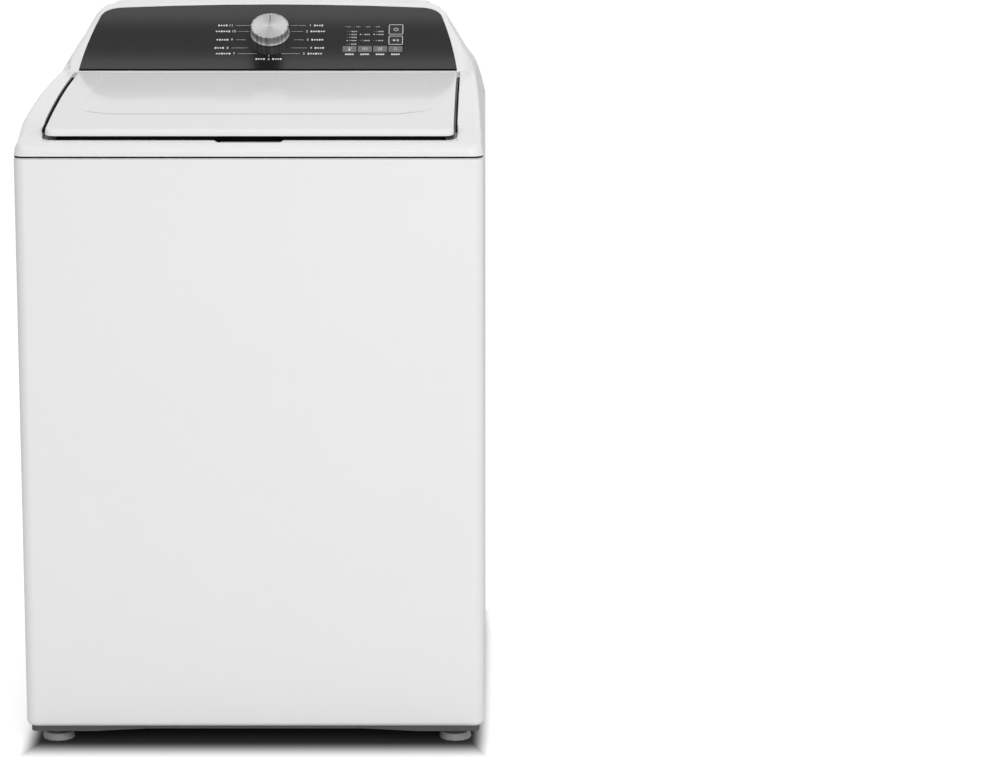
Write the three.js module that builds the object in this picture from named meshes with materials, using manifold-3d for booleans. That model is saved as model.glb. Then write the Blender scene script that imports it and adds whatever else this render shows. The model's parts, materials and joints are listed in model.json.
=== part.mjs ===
/**
 * Top load washing machine, in millimetres, +Z up, front towards -Y, standing on z = 0.
 * Every physical piece is one named mesh. The order below follows the machine from the floor up:
 * feet and cabinet, top cover, console, lid, wash unit, drive, suspension, water.
 */
import * as THREE from 'three';
import { mergeVertices } from 'three/addons/utils/BufferGeometryUtils.js';
import Module from 'manifold-3d';

const wasm = await Module();
wasm.setup();

// ---------------------------------------------------------------- driving dimensions
const WIDTH = 698.5;
const DEPTH = 711;
const HEIGHT = 1067;
const GAP = 0.3; // running and seating clearance between separate pieces

// cabinet
const SHEET = 1.2;
const CABINET_BOTTOM = 30;
const TOP_RISE = 159; // from the seam under the top cover to the crown of the console
const SEAM_GAP = 2.4;
const SEAM_DEPTH = 9; // how far the seam's groove runs in before it meets the cover's resting rim
const REAR_SPACE = 25.5; // between the rear panel's plane and the rearmost port
const CORNER_R = 17.5;
const FLANGE = 14;

// feet
const FOOT_R = 24.5;
const FOOT_PAD = 10;
const STUD_R = 5;
const FOOT_INSET_X = 44.5;
const FOOT_INSET_FRONT = 50;
const FOOT_INSET_REAR = 50;

// top cover
const COVER_WALL = 2.6;
const STRIP_DROP = 100; // lid strip height below the crown
const COVER_FALL = 25.4; // how far the cover falls towards the front
const FALL_RUN = 430;
const SHOULDER_LEAN_FRONT = 5.3;
const SHOULDER_LEAN_REAR = 15.3;
const SHOULDER_R = 12;
const FRONT_RIM_RISE = 23; // height of the low front rim over the seam
const RIM_BLEND = 72; // run over which the rim climbs to the strips beside the lid
const NOSE_FOOT = 8; // where the front starts to round over, above the cover's lower edge
const DECK_DROP = 24;
const POCKET_CORNER_R = 19;
const MOUTH_INSET = 33; // how far the mouth's edge stands in from the basket's wall
const MOUTH_REAR_LAND = 65;
const COLLAR_DROP = 8;
const SCOOP_HALF = 54;
const SCOOP_SLANT = 8;
const SCOOP_DEPTH = 3;
const SCOOP_REACH = 14;
const LATCH_X = 195;
const LATCH_BACK = 68;
const CUP_HALF = [30, 21];
const CUP_FLANGE_RISE = 3; // flange over the deck at the cup's middle, clear of the deck's slope
const NOZZLE_HALF = 42;
const NOZZLE_H = 14;

// console
const FASCIA_TILT = 34; // degrees from level
const FASCIA_SLOPE = 159;
const FASCIA_FOOT_BACK = 519.5; // fascia's lower edge, behind the front panel
const FASCIA_MARGIN = 45.25; // from the machine's side to the fascia's lower corner
const FASCIA_TAPER = 0.11;
const FASCIA_TAPER_GROWTH = 0.00067;
const FASCIA_SIDE_END = 124; // up the slope, where the round corner starts
const FASCIA_CORNER_R = 27;
const FASCIA_CROWN = 7.5;
const FASCIA_THICK = 3;
const FASCIA_LEDGE = 9;
const CHEEK_LEAN = 0.57;
const CHEEK_CURL = 0.0009;
const CROWN_SAG = 4.5;
const CROWN_CORNER_R = 30;

// lid
const LID_MARGIN = 44.25; // from the machine's side to the lid's edge
const LID_GAP = 5;
const LID_FRONT_BACK = 30.5; // lid's front edge, behind the front panel
const LID_BEHIND = 12; // from the lid's rear edge to the fascia's foot
const LID_SKIRT = 10;
const LID_SKIN = 2;
const LID_PROUD = 1.5; // how far the lid's front edge stands over the strips beside it
const LID_CORNER_R = 14;
const LID_FIELD_BACK = 84; // from the lid's front edge to the sunk field's edge
const LID_FIELD_HALF = 262;
const LID_FIELD_DEPTH = 1.2;
const PIN_R = 3;

// controls
const KNOB_FACE_R = 30.5;
const KNOB_BASE_R = 31.7;
const KNOB_HEIGHT = 18;
const KNOB_LIFT = 0.6;
const ENCODER_SHAFT_R = 3;
const KNOB_X = 0;
const KNOB_V = 86;
const BUTTON_TRAVEL = 1.2;
const BUTTON_PROUD = 0.8;
const BUTTON_FOOT = -5;
const BUTTON_CLEAR = 0.5;
const PAD_SIZE = [22.5, 14];
const PAD_PITCH = 24.8;
const PAD_X = 130;
const PAD_V = 48.5;
const START_SIZE = [24, 22.3];
const START_V = 69.5;
const POWER_SIZE = [24, 25];
const POWER_V = 96;

// water inlets
const VALVE_X = 190;
const VALVE_PITCH = 54;
const VALVE_RISE = 34; // over the seam
const PORT_R = 13;

// wash unit
const TUB_ROOM = [43.25, 36.75]; // between the tub's wall and the cabinet: at the sides, at the front
const TUB_WALL = 3;
const TUB_FLOOR = 240;
const TUB_BELOW_SEAM = 53;
const BASKET_ROOM = 23; // between the basket's wall and the tub's wall
const BASKET_SHEET = 1.2;
const BASKET_FLOOR = 288;
const RING_HEIGHT = 36;
const HUB_BORE_EDGE = 44; // hole in the basket's floor
const HUB_FLANGE_R = 90;
const PLATE_ROOM = 21; // between the wash plate's rim and the basket's wall
const PLATE_RIBS = 6;
const POST_R = 48;
const POST_FINS = 4;
const FIN_REACH = 34;
const FIN_SWEEP = 1.5;
const POST_HEAD = 100; // from the agitator's cap to the balance ring's top

// drive
const SHAFT_R = 8;
const TUBE_R = 16;
const BEARING_R = 31;
const BEARING_H = 16;
const MOTOR_AT = [172, 78];
const MOTOR_R = 62;
const PULLEY_R = 88;
const MOTOR_PULLEY_R = 27;
const PULLEY_H = 20;
const MOTOR_SHAFT_R = 6;
const BELT_THICK = 2.2;
const PLATE_Z = 178; // drive plate under the tub
const PLATE_THICK = 4;
const BOSS_REACH = 120;
const CASE_Z = 100;
const CASE_H = 66;
const CASE_R = 92;
const PUMP_R = 40;
const PUMP_LOW = 128;

// suspension
const ROD_R = 5;
const ROD_INSET = 62;
const ROD_REACH = 272;
const SPRING_R = 21;
const SPRING_H = 118;
const SPRING_WIRE = 2.6;
const SPRING_END = 1.1; // room for the wire's slanted end under the ear
const SPRING_TURNS = 4;
const BRACKET_THICK = 3;
const BRACKET_OFF = 5; // from the cabinet's outer face to the bracket's edge

// ---------------------------------------------------------------- derived places
const FRONT = -DEPTH / 2;
const SIDE = WIDTH / 2;
const REAR = DEPTH / 2 - REAR_SPACE;
const SEAM = HEIGHT - TOP_RISE;
const STRIP_Z = HEIGHT - STRIP_DROP;
const COVER_BOTTOM = SEAM + SEAM_GAP;
const RIM_TOP = SEAM + FRONT_RIM_RISE;
const POCKET_FRONT = FRONT + LID_FRONT_BACK - LID_GAP;
const LID_FRONT = FRONT + LID_FRONT_BACK;
const FASCIA_FOOT_Y = FRONT + FASCIA_FOOT_BACK;
const LID_LENGTH = FASCIA_FOOT_Y - LID_BEHIND - LID_FRONT;
const LID_REAR = LID_FRONT + LID_LENGTH;
const LID_HALF = SIDE - LID_MARGIN;
const POCKET_REAR = LID_REAR + LID_GAP;
const POCKET_HALF = LID_HALF + LID_GAP;
const FASCIA_FOOT_HALF = SIDE - FASCIA_MARGIN;
const FASCIA_FOOT_Z = STRIP_Z + 3;
const TILT = THREE.MathUtils.degToRad(FASCIA_TILT);
const AXIS_Y = (FRONT + REAR) / 2;
const TUB_R = Math.min(SIDE - TUB_ROOM[0], AXIS_Y - FRONT - TUB_ROOM[1]);
const BASKET_R = TUB_R - BASKET_ROOM;
const PLATE_R = BASKET_R - PLATE_ROOM;
const MOUTH_R = BASKET_R - MOUTH_INSET;
const TUB_TOP = SEAM - TUB_BELOW_SEAM;
const CAP_TOP = TUB_TOP - POST_HEAD;
const ROD_X = SIDE - ROD_INSET;
const HINGE_Y = LID_REAR - 7;
const COVER_REAR = REAR + 5;
const VALVE_Z = SEAM + VALVE_RISE;

// ---------------------------------------------------------------- finishes
const finish = (color, roughness, metalness) => new THREE.MeshStandardMaterial({ color, roughness, metalness });
const WHITE_PAINT = finish(0xe9e9ea, 0.3, 0);
const FRAME_GREY = finish(0xc9cbcd, 0.45, 0.2);
const BLACK_GLOSS = finish(0x3d3d3f, 0.12, 0);
const GREY_KEY = finish(0x6d6e70, 0.4, 0);
const BRUSHED = finish(0xc4c5c7, 0.28, 1);
const STAINLESS = finish(0xb9bcbf, 0.25, 1);
const STEEL = finish(0x9a9da0, 0.4, 1);
const CAST = finish(0x7d8083, 0.5, 1);
const TUB_PLASTIC = finish(0xc6c8c9, 0.6, 0);
const WHITE_PLASTIC = finish(0xe2e3e4, 0.5, 0);
const DARK_PLASTIC = finish(0x303234, 0.55, 0);
const RUBBER = finish(0x242526, 0.8, 0);
const BOARD = finish(0x2f6b46, 0.6, 0);

const machine = new THREE.Group();

// ---------------------------------------------------------------- shape tools
/** Adds one named piece. */
function piece(name, geometry, material) {
  const body = new THREE.Mesh(geometry, material);
  body.name = name;
  machine.add(body);
  return body;
}

/** Turns a closed geometry into a solid that can be joined and cut. */
function solid(geometry) {
  const bare = geometry.clone();
  bare.deleteAttribute('normal');
  bare.deleteAttribute('uv');
  const merged = mergeVertices(bare, 1e-4);
  const index = merged.index.array;
  const corners = merged.attributes.position.array;
  return new wasm.Manifold(new wasm.Mesh({
    numProp: 3,
    vertProperties: Float32Array.from(corners),
    triVerts: Uint32Array.from(index),
  }));
}

/** Turns a solid back into a geometry. */
function shell(body) {
  const mesh = body.getMesh();
  const geometry = new THREE.BufferGeometry();
  geometry.setAttribute('position', new THREE.BufferAttribute(Float32Array.from(mesh.vertProperties), 3));
  geometry.setIndex(Array.from(mesh.triVerts));
  geometry.computeVertexNormals();
  return geometry;
}

const joined = (...solids) => solids.reduce((whole, next) => whole.add(next));
const cut = (body, ...tools) => tools.reduce((rest, tool) => rest.subtract(tool), body);

/** Half width of the fascia at a distance up its slope. */
const fasciaHalf = (v) => FASCIA_FOOT_HALF - FASCIA_TAPER * v - FASCIA_TAPER_GROWTH * v * v;

/** A box by its low and high corners. */
function block(x0, x1, y0, y1, z0, z1) {
  return new THREE.BoxGeometry(x1 - x0, y1 - y0, z1 - z0)
    .translate((x0 + x1) / 2, (y0 + y1) / 2, (z0 + z1) / 2);
}

/** An upright cylinder between two heights; a second radius makes it a cone. */
function post(x, y, radius, z0, z1, sides = 24, topRadius = radius) {
  return new THREE.CylinderGeometry(topRadius, radius, z1 - z0, sides)
    .rotateX(Math.PI / 2).translate(x, y, (z0 + z1) / 2);
}

/** A closed profile of [radius, height] turned about an upright axis. */
function turned(profile, x = 0, y = 0, sides = 32) {
  const points = profile.map(([radius, height]) => new THREE.Vector2(radius, height));
  if (points[0].x > 1e-6) points.push(points[0].clone());
  const area = points.reduce((sum, p, i) => {
    const q = points[(i + 1) % points.length];
    return sum + p.x * q.y - q.x * p.y;
  }, 0);
  if (area < 0) points.reverse();
  return new THREE.LatheGeometry(points, sides).rotateX(Math.PI / 2).translate(x, y, 0);
}

/** A ring of rectangular section. */
const ring = (inner, outer, z0, z1, x = 0, y = 0, sides = 20) =>
  turned([[inner, z0], [outer, z0], [outer, z1], [inner, z1]], x, y, sides);

/** An outline in the plan, raised between two heights. */
function prism(shape, z0, z1, arcSteps = 2) {
  return new THREE.ExtrudeGeometry(shape, { depth: z1 - z0, bevelEnabled: false, curveSegments: arcSteps })
    .translate(0, 0, z0);
}

/** An outline in the (Y, Z) plane, run across the machine between two X values. */
function across(points, x0, x1) {
  const outline = new THREE.Shape(points.map(([y, z]) => new THREE.Vector2(y, z)));
  return new THREE.ExtrudeGeometry(outline, { depth: x1 - x0, bevelEnabled: false })
    .applyMatrix4(new THREE.Matrix4().makeBasis(
      new THREE.Vector3(0, 1, 0), new THREE.Vector3(0, 0, 1), new THREE.Vector3(1, 0, 0)))
    .translate(x0, 0, 0);
}

/** A rectangle with rounded corners: one radius at the low-Y corners, one at the high-Y corners. */
function roundedRect(x0, x1, y0, y1, lowR, highR = lowR) {
  const outline = new THREE.Shape();
  outline.moveTo(x0 + lowR, y0);
  outline.lineTo(x1 - lowR, y0);
  outline.absarc(x1 - lowR, y0 + lowR, lowR, -Math.PI / 2, 0, false);
  outline.lineTo(x1, y1 - highR);
  outline.absarc(x1 - highR, y1 - highR, highR, 0, Math.PI / 2, false);
  outline.lineTo(x0 + highR, y1);
  outline.absarc(x0 + highR, y1 - highR, highR, Math.PI / 2, Math.PI, false);
  outline.lineTo(x0, y0 + lowR);
  outline.absarc(x0 + lowR, y0 + lowR, lowR, Math.PI, Math.PI * 1.5, false);
  return outline;
}

/** An outline in the (X, Z) plane, run along the machine between two Y values. */
function along(points, y0, y1) {
  const outline = new THREE.Shape(points.map(([x, z]) => new THREE.Vector2(x, -z)));
  return new THREE.ExtrudeGeometry(outline, { depth: y1 - y0, bevelEnabled: false })
    .rotateX(-Math.PI / 2).translate(0, y0, 0);
}

/** Triangles that fill a flat ring of points, in the ring's own order. */
function fillRing(points) {
  const normal = new THREE.Vector3();
  points.forEach((p, i) => normal.add(p.clone().cross(points[(i + 1) % points.length])));
  normal.normalize();
  const helper = Math.abs(normal.z) < 0.9 ? new THREE.Vector3(0, 0, 1) : new THREE.Vector3(1, 0, 0);
  const u = helper.cross(normal).normalize();
  const v = normal.clone().cross(u);
  const outline = points.map((p) => new THREE.Vector2(p.dot(u), p.dot(v)));
  const triangles = THREE.ShapeUtils.triangulateShape(outline, []);
  const [a, b, c] = triangles[0].map((k) => outline[k]);
  const inOrder = (b.x - a.x) * (c.y - a.y) - (b.y - a.y) * (c.x - a.x) > 0;
  return inOrder ? triangles : triangles.map(([p, q, r]) => [r, q, p]);
}

/** Skins a row of equal-count rings of points and closes both ends. */
function loft(rings) {
  const count = rings[0].length;
  const last = (rings.length - 1) * count;
  const triangles = [];
  for (let start = 0; start < last; start += count) {
    for (let i = 0; i < count; i += 1) {
      const a = start + i;
      const b = start + ((i + 1) % count);
      triangles.push([a, b, b + count], [a, b + count, a + count]);
    }
  }
  triangles.push(...fillRing(rings[0]).map(([a, b, c]) => [c, b, a]));
  triangles.push(...fillRing(rings.at(-1)).map((corners) => corners.map((k) => k + last)));
  const positions = rings.flat().flatMap((p) => p.toArray());
  const volume = triangles.reduce((sum, [a, b, c]) => {
    const [p, q, r] = [a, b, c].map((k) => new THREE.Vector3().fromArray(positions, 3 * k));
    return sum + p.dot(q.cross(r));
  }, 0);
  const facing = volume > 0 ? triangles : triangles.map(([a, b, c]) => [c, b, a]);
  const geometry = new THREE.BufferGeometry();
  geometry.setAttribute('position', new THREE.BufferAttribute(Float32Array.from(positions), 3));
  geometry.setIndex(facing.flat());
  geometry.computeVertexNormals();
  return geometry;
}

/** Runs a sheet profile of [outward, height] along a plan path with mitred corners. */
function sheetAlong(path, profile) {
  const outwardOf = (from, to) => new THREE.Vector2(to.y - from.y, from.x - to.x).normalize();
  return loft(path.map((here, i) => {
    const before = i ? outwardOf(path[i - 1], here) : outwardOf(here, path[1]);
    const after = i === path.length - 1 ? before : outwardOf(here, path[i + 1]);
    const mitre = before.clone().add(after).normalize();
    const reach = 1 / mitre.dot(before);
    return profile.map(([out, z]) =>
      new THREE.Vector3(here.x + mitre.x * out * reach, here.y + mitre.y * out * reach, z));
  }));
}

/** Points on an arc in a plane, from one angle to another in degrees. */
function arcPoints(x, y, radius, from, to, steps) {
  return Array.from({ length: steps + 1 }, (_, i) => {
    const angle = THREE.MathUtils.degToRad(from + ((to - from) * i) / steps);
    return new THREE.Vector2(x + radius * Math.cos(angle), y + radius * Math.sin(angle));
  });
}

/** A round tube along chosen points. */
function tube(points, radius, steps) {
  const path = new THREE.CatmullRomCurve3(points.map((p) => new THREE.Vector3(...p)), false, 'centripetal');
  const section = new THREE.Shape();
  section.absarc(0, 0, radius, 0, Math.PI * 2, false);
  return new THREE.ExtrudeGeometry(section, { steps, curveSegments: 4, extrudePath: path, bevelEnabled: false });
}
// ---------------------------------------------------------------- feet
const feetAt = [
  ['front_left', -SIDE + FOOT_INSET_X, FRONT + FOOT_INSET_FRONT],
  ['front_right', SIDE - FOOT_INSET_X, FRONT + FOOT_INSET_FRONT],
  ['rear_left', -SIDE + FOOT_INSET_X, REAR - FOOT_INSET_REAR],
  ['rear_right', SIDE - FOOT_INSET_X, REAR - FOOT_INSET_REAR],
];
const FRAME_LOW = FOOT_PAD + 11.5;
const FRAME_HIGH = CABINET_BOTTOM - GAP;
const STUD_TOP = CABINET_BOTTOM + 30;
for (const [corner, x, y] of feetAt) {
  const pad = turned([[0, 0], [FOOT_R, 0], [FOOT_R, 3.5], [FOOT_R - 3, FOOT_PAD], [0, FOOT_PAD]], x, y, 12);
  const stud = post(x, y, STUD_R, FOOT_PAD - 1, STUD_TOP, 10);
  piece(`foot_${corner}`, shell(joined(solid(pad), solid(stud))), FRAME_GREY);
}

// ---------------------------------------------------------------- cabinet
const RETURN = 22;
const HEM_R = 8;
const TOP_BEND = 2.5;

/** The plan path of the folded cabinet: rear return, side, front, side, rear return. */
const cabinetPath = [
  new THREE.Vector2(-SIDE + RETURN, REAR),
  new THREE.Vector2(-SIDE, REAR),
  ...arcPoints(-SIDE + CORNER_R, FRONT + CORNER_R, CORNER_R, 180, 270, 6),
  ...arcPoints(SIDE - CORNER_R, FRONT + CORNER_R, CORNER_R, 270, 360, 6),
  new THREE.Vector2(SIDE, REAR),
  new THREE.Vector2(SIDE - RETURN, REAR),
];
const hemArc = (radius, from, to) =>
  arcPoints(-HEM_R, CABINET_BOTTOM + HEM_R, radius, from, to, 4).map((p) => p.toArray());
const foldedSheet = [
  [-FLANGE, CABINET_BOTTOM],
  ...hemArc(HEM_R, 270, 360),
  [0, SEAM - TOP_BEND],
  [-TOP_BEND, SEAM],
  [-FLANGE, SEAM],
  [-FLANGE, SEAM - SHEET],
  [-TOP_BEND - SHEET / 2, SEAM - SHEET],
  [-SHEET, SEAM - TOP_BEND - SHEET / 2],
  ...hemArc(HEM_R - SHEET, 360, 270),
  [-FLANGE, CABINET_BOTTOM + SHEET],
];
const rodsAt = [
  ['front_left', -ROD_X, AXIS_Y - ROD_REACH],
  ['front_right', ROD_X, AXIS_Y - ROD_REACH],
  ['rear_left', -ROD_X, AXIS_Y + ROD_REACH],
  ['rear_right', ROD_X, AXIS_Y + ROD_REACH],
];

// corner brackets for the suspension rods are welded under the top flange
const bracketTop = SEAM - SHEET + 0.4;
/** Plan of a corner bracket, measured inward from the cabinet's walls. */
function bracketPlan(x, y) {
  const wallX = Math.sign(x) * (SIDE - BRACKET_OFF);
  const wallY = y < AXIS_Y ? FRONT + BRACKET_OFF : REAR - BRACKET_OFF;
  const intoX = -Math.sign(x);
  const intoY = Math.sign(AXIS_Y - y);
  const farX = Math.abs(wallX - x) + 16;
  const farY = Math.abs(wallY - y) + 16;
  const corners = [[22, 0], [farX, 0], [farX, farY - 30], [farX - 30, farY], [0, farY], [0, 22]];
  return new THREE.Shape(corners.map(([u, v]) => new THREE.Vector2(wallX + intoX * u, wallY + intoY * v)));
}
piece('cabinet_wrap', shell(joined(
  solid(sheetAlong(cabinetPath, foldedSheet)),
  ...rodsAt.map(([, x, y]) => cut(
    solid(prism(bracketPlan(x, y), bracketTop - BRACKET_THICK, bracketTop)),
    solid(post(x, y, ROD_R + 1, bracketTop - 10, bracketTop + 5, 16)),
  )),
)), WHITE_PAINT);

// rear panel: a sheet pressed out on both sides of its middle, with holes for the drain port and the cord
const PANEL_MARGIN = 4;
const PANEL_BULGE = 7;
const DRAIN_AT = [-SIDE + 96, SEAM - 96];
const DRAIN_R = 15;
const CORD_AT = [SIDE - 96, SEAM - 60];
const CORD_R = 9;
const PANEL_Y = REAR + GAP;
const pressing = [
  [-SIDE + PANEL_MARGIN, 0], [-SIDE + 48, 0], [-SIDE + 56, PANEL_BULGE], [-60, PANEL_BULGE],
  [-54, 0], [54, 0], [60, PANEL_BULGE], [SIDE - 56, PANEL_BULGE], [SIDE - 48, 0], [SIDE - PANEL_MARGIN, 0],
];
const panelOutline = new THREE.Shape([
  ...pressing.map(([x, y]) => new THREE.Vector2(x, PANEL_Y + y)),
  ...pressing.toReversed().map(([x, y]) => new THREE.Vector2(x, PANEL_Y + y + SHEET)),
]);
/** A round tool through the rear wall at a place in its plane. */
const throughRear = ([x, z], radius, y0 = REAR - 20, y1 = REAR + 20, sides = 14) =>
  new THREE.CylinderGeometry(radius, radius, y1 - y0, sides).translate(x, (y0 + y1) / 2, z);
piece('rear_panel', shell(cut(
  solid(prism(panelOutline, CABINET_BOTTOM + 3, SEAM - 3)),
  solid(throughRear(DRAIN_AT, DRAIN_R + GAP)),
  solid(throughRear(CORD_AT, CORD_R + GAP)),
)), WHITE_PAINT);

// base frame: a ring under the cabinet; between the feet its front and rear rails rise out of sight
const FRAME_INSET = 7;
const RAIL = 74;
const DROP_START = SIDE - 184;
const DROP_END = SIDE - 81;
const RAIL_THIN = 4;
const framePlan = roundedRect(-SIDE + FRAME_INSET, SIDE - FRAME_INSET,
  FRONT + FRAME_INSET, REAR - FRAME_INSET, CORNER_R - FRAME_INSET);
framePlan.holes.push(roundedRect(-SIDE + RAIL, SIDE - RAIL, FRONT + RAIL, REAR - RAIL, 40));
const railRise = along([
  [-DROP_END, FRAME_LOW - 1], [DROP_END, FRAME_LOW - 1],
  [DROP_START, FRAME_HIGH - RAIL_THIN], [-DROP_START, FRAME_HIGH - RAIL_THIN],
], FRONT - 1, REAR + 1);
piece('base_frame', shell(cut(
  solid(prism(framePlan, FRAME_LOW, FRAME_HIGH)),
  solid(railRise),
  ...feetAt.map(([, x, y]) => solid(post(x, y, STUD_R + GAP, FRAME_LOW - 1, FRAME_HIGH + 1, 10))),
)), FRAME_GREY);

// ---------------------------------------------------------------- top cover
const SLOPE_START = FASCIA_FOOT_Y - (FASCIA_FOOT_Z - STRIP_Z) / Math.tan(TILT);
const FASCIA_TOP_Y = FASCIA_FOOT_Y + FASCIA_SLOPE * Math.cos(TILT);
const slopeAt = (y) => FASCIA_FOOT_Z + (y - FASCIA_FOOT_Y) * Math.tan(TILT);

/** Height of the cover beside the lid, which the lid's own top follows. */
function stripHeight(y) {
  const left = Math.max(0, 1 - (y - FRONT) / FALL_RUN);
  return STRIP_Z - COVER_FALL * left * left;
}

/** Height of the cover's own top: it dips under the lid's front edge and rises beside the lid. */
function rimHeight(y) {
  const t = Math.max(0, Math.min(1, (y - POCKET_FRONT) / RIM_BLEND));
  return RIM_TOP + (stripHeight(y) - RIM_TOP) * t * t * (3 - 2 * t);
}

const HINGE_Z = stripHeight(HINGE_Y) - 7;

/** Half width of the cover at its shoulder. */
function shoulderHalf(y) {
  const back = Math.min(1, (y - FRONT) / FASCIA_FOOT_BACK);
  return SIDE - SHOULDER_LEAN_FRONT - (SHOULDER_LEAN_REAR - SHOULDER_LEAN_FRONT) * back ** 1.5;
}

// the console seen from the front: leaning cheeks, round corners and a slightly arched crown
const CHEEK_FOOT = STRIP_Z - 2;
const CROWN_START = HEIGHT - CROWN_SAG - CROWN_CORNER_R * 0.75;
const cheekHalf = (z) => {
  const rise = Math.max(0, z - CHEEK_FOOT);
  return SIDE - SHOULDER_LEAN_REAR - CHEEK_LEAN * rise - CHEEK_CURL * rise * rise;
};
const CROWN_HALF = cheekHalf(CROWN_START) - CROWN_CORNER_R;
const crownHeight = (x) => HEIGHT - CROWN_SAG * (x / CROWN_HALF) ** 2;

/** Half width of the console at a height. */
function consoleHalf(z) {
  if (z <= CROWN_START) return cheekHalf(z);
  const up = Math.min(1, (z - CROWN_START) / (crownHeight(CROWN_HALF) - CROWN_START));
  return CROWN_HALF + CROWN_CORNER_R * Math.sqrt(1 - up * up);
}

/** Rounds every corner of an open polyline of [x, z, radius] that states a radius. */
function rounded(controls, steps = 3) {
  return controls.flatMap(([x, z, radius], i) => {
    const here = new THREE.Vector2(x, z);
    if (radius === undefined) return [here];
    const before = new THREE.Vector2(controls[i - 1][0], controls[i - 1][1]).sub(here);
    const after = new THREE.Vector2(controls[i + 1][0], controls[i + 1][1]).sub(here);
    const reach = Math.max(0.05, Math.min(radius, before.length() * 0.48, after.length() * 0.48));
    return new THREE.QuadraticBezierCurve(
      before.setLength(reach).add(here), here, after.setLength(reach).add(here)).getPoints(steps);
  });
}

/** Mirrors a half outline that runs from the right foot to the middle, and stands it up at a depth y. */
function standing(halfOutline, y) {
  const right = halfOutline.map((p) => new THREE.Vector3(p.x, y, p.y));
  const left = halfOutline.slice(0, -1).reverse().map((p) => new THREE.Vector3(-p.x, y, p.y));
  return [...right, ...left];
}

/** Quarter-round easing from 0 to 1 over a run. */
const bullnose = (distance, run) => Math.sqrt(1 - (1 - Math.min(1, distance / run)) ** 2);

/** Half width of an outline whose front corners are rounded in plan. */
const roundCorner = (half, distance, radius) =>
  half - radius + radius * bullnose(distance, radius);

/** One upright section across the cover. */
function coverSection(y, steps) {
  const back = y - FRONT;
  const noseFoot = COVER_BOTTOM + NOSE_FOOT;
  const foot = roundCorner(SIDE, back, CORNER_R);
  const shoulder = roundCorner(shoulderHalf(y), back, CORNER_R);
  const nose = (top, run) => noseFoot + (top - noseFoot) * bullnose(back, run);
  const strip = nose(rimHeight(y), LID_FRONT_BACK - LID_GAP);
  const raised = y > SLOPE_START;
  const top = Math.max(strip, slopeAt(y));
  const cheekTop = Math.min(top, crownHeight(CROWN_HALF));
  const cheek = raised ? Math.min(shoulder - 16, consoleHalf(cheekTop)) : shoulder - 16;
  const inside = (x) => (raised ? Math.min(top, crownHeight(x)) : strip);
  const soft = Math.max(0, Math.min(1, (y - FASCIA_FOOT_Y) / 40));
  const shoulderTop = raised ? CHEEK_FOOT : strip;
  return standing(rounded([
    [foot, COVER_BOTTOM],
    [(foot + shoulder) / 2 + 1, (COVER_BOTTOM + shoulderTop) / 2],
    [shoulder, shoulderTop, SHOULDER_R],
    [cheek, cheekTop, raised ? 8 * soft : 8],
    [cheek - 26, inside(cheek - 26), 8],
    [cheek * 0.5, inside(cheek * 0.5)],
    [0, inside(0)],
  ], steps), y);
}
const noseSteps = [0, 0.8, 3, 7, 12.5, 19, LID_FRONT_BACK - LID_GAP];
const stripSteps = [36, 48, 61, 75, 90, 104, 190, 290, FALL_RUN];
const slopeSteps = [0, 0.2, 0.45, 0.75, 0.92, 1];
const coverDepths = [
  ...noseSteps.map((d) => FRONT + d),
  ...stripSteps.map((d) => FRONT + d),
  SLOPE_START,
  ...slopeSteps.map((t) => FASCIA_FOOT_Y + t * (FASCIA_TOP_Y - FASCIA_FOOT_Y)),
  FASCIA_TOP_Y + 8,
  COVER_REAR - 6,
];
const REAR_ROUND = 5;
/** The whole cover as a block, from its sections at a list of depths. */
function coverBlock(depths, steps) {
  const rings = depths.map((y) => coverSection(y, steps));
  rings.push(rings.at(-1).map((p) => new THREE.Vector3(
    p.x * (1 - 3 / SIDE), COVER_REAR, COVER_BOTTOM + (p.z - COVER_BOTTOM) * (1 - REAR_ROUND / TOP_RISE))));
  return solid(loft(rings));
}
const coverForm = coverBlock(coverDepths, 3);

const shrink = (span, wall) => (span - 2 * wall) / span;
const hollow = cut(coverBlock(coverDepths.filter((_, i) => i % 2 === 0 || i > coverDepths.length - 4), 1)
  .translate([0, -(FRONT + COVER_REAR) / 2, -COVER_BOTTOM])
  .scale([shrink(WIDTH, COVER_WALL), shrink(COVER_REAR - FRONT, COVER_WALL), 1])
  .translate([0, (FRONT + COVER_REAR) / 2, COVER_BOTTOM - COVER_WALL]),
  solid(block(-SIDE, SIDE, FRONT, POCKET_FRONT + 8, RIM_TOP - SCOOP_DEPTH - COVER_WALL, HEIGHT)));

// the pocket that the lid lies in, its sloping deck and the mouth over the basket
const deckHeight = (y) => stripHeight(y) - DECK_DROP;
const deckDepths = Array.from({ length: 9 }, (_, i) => FRONT + 5 + (i * (POCKET_REAR + 20 - FRONT)) / 8);
const deckBlock = (drop) => solid(across([
  ...deckDepths.map((y) => [y, deckHeight(y) - drop]),
  [deckDepths.at(-1), COVER_BOTTOM - 60],
  [deckDepths[0], COVER_BOTTOM - 60],
], -SIDE, SIDE));
const pocketPlan = (grow) => roundedRect(-POCKET_HALF - grow, POCKET_HALF + grow,
  POCKET_FRONT - grow, POCKET_REAR + grow, POCKET_CORNER_R + grow, POCKET_CORNER_R / 2 + grow);
const pocket = cut(solid(prism(pocketPlan(0), COVER_BOTTOM - 20, HEIGHT)), deckBlock(0));
const pocketLining = cut(solid(prism(pocketPlan(COVER_WALL), COVER_BOTTOM - 20, HEIGHT)), deckBlock(COVER_WALL));

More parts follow.
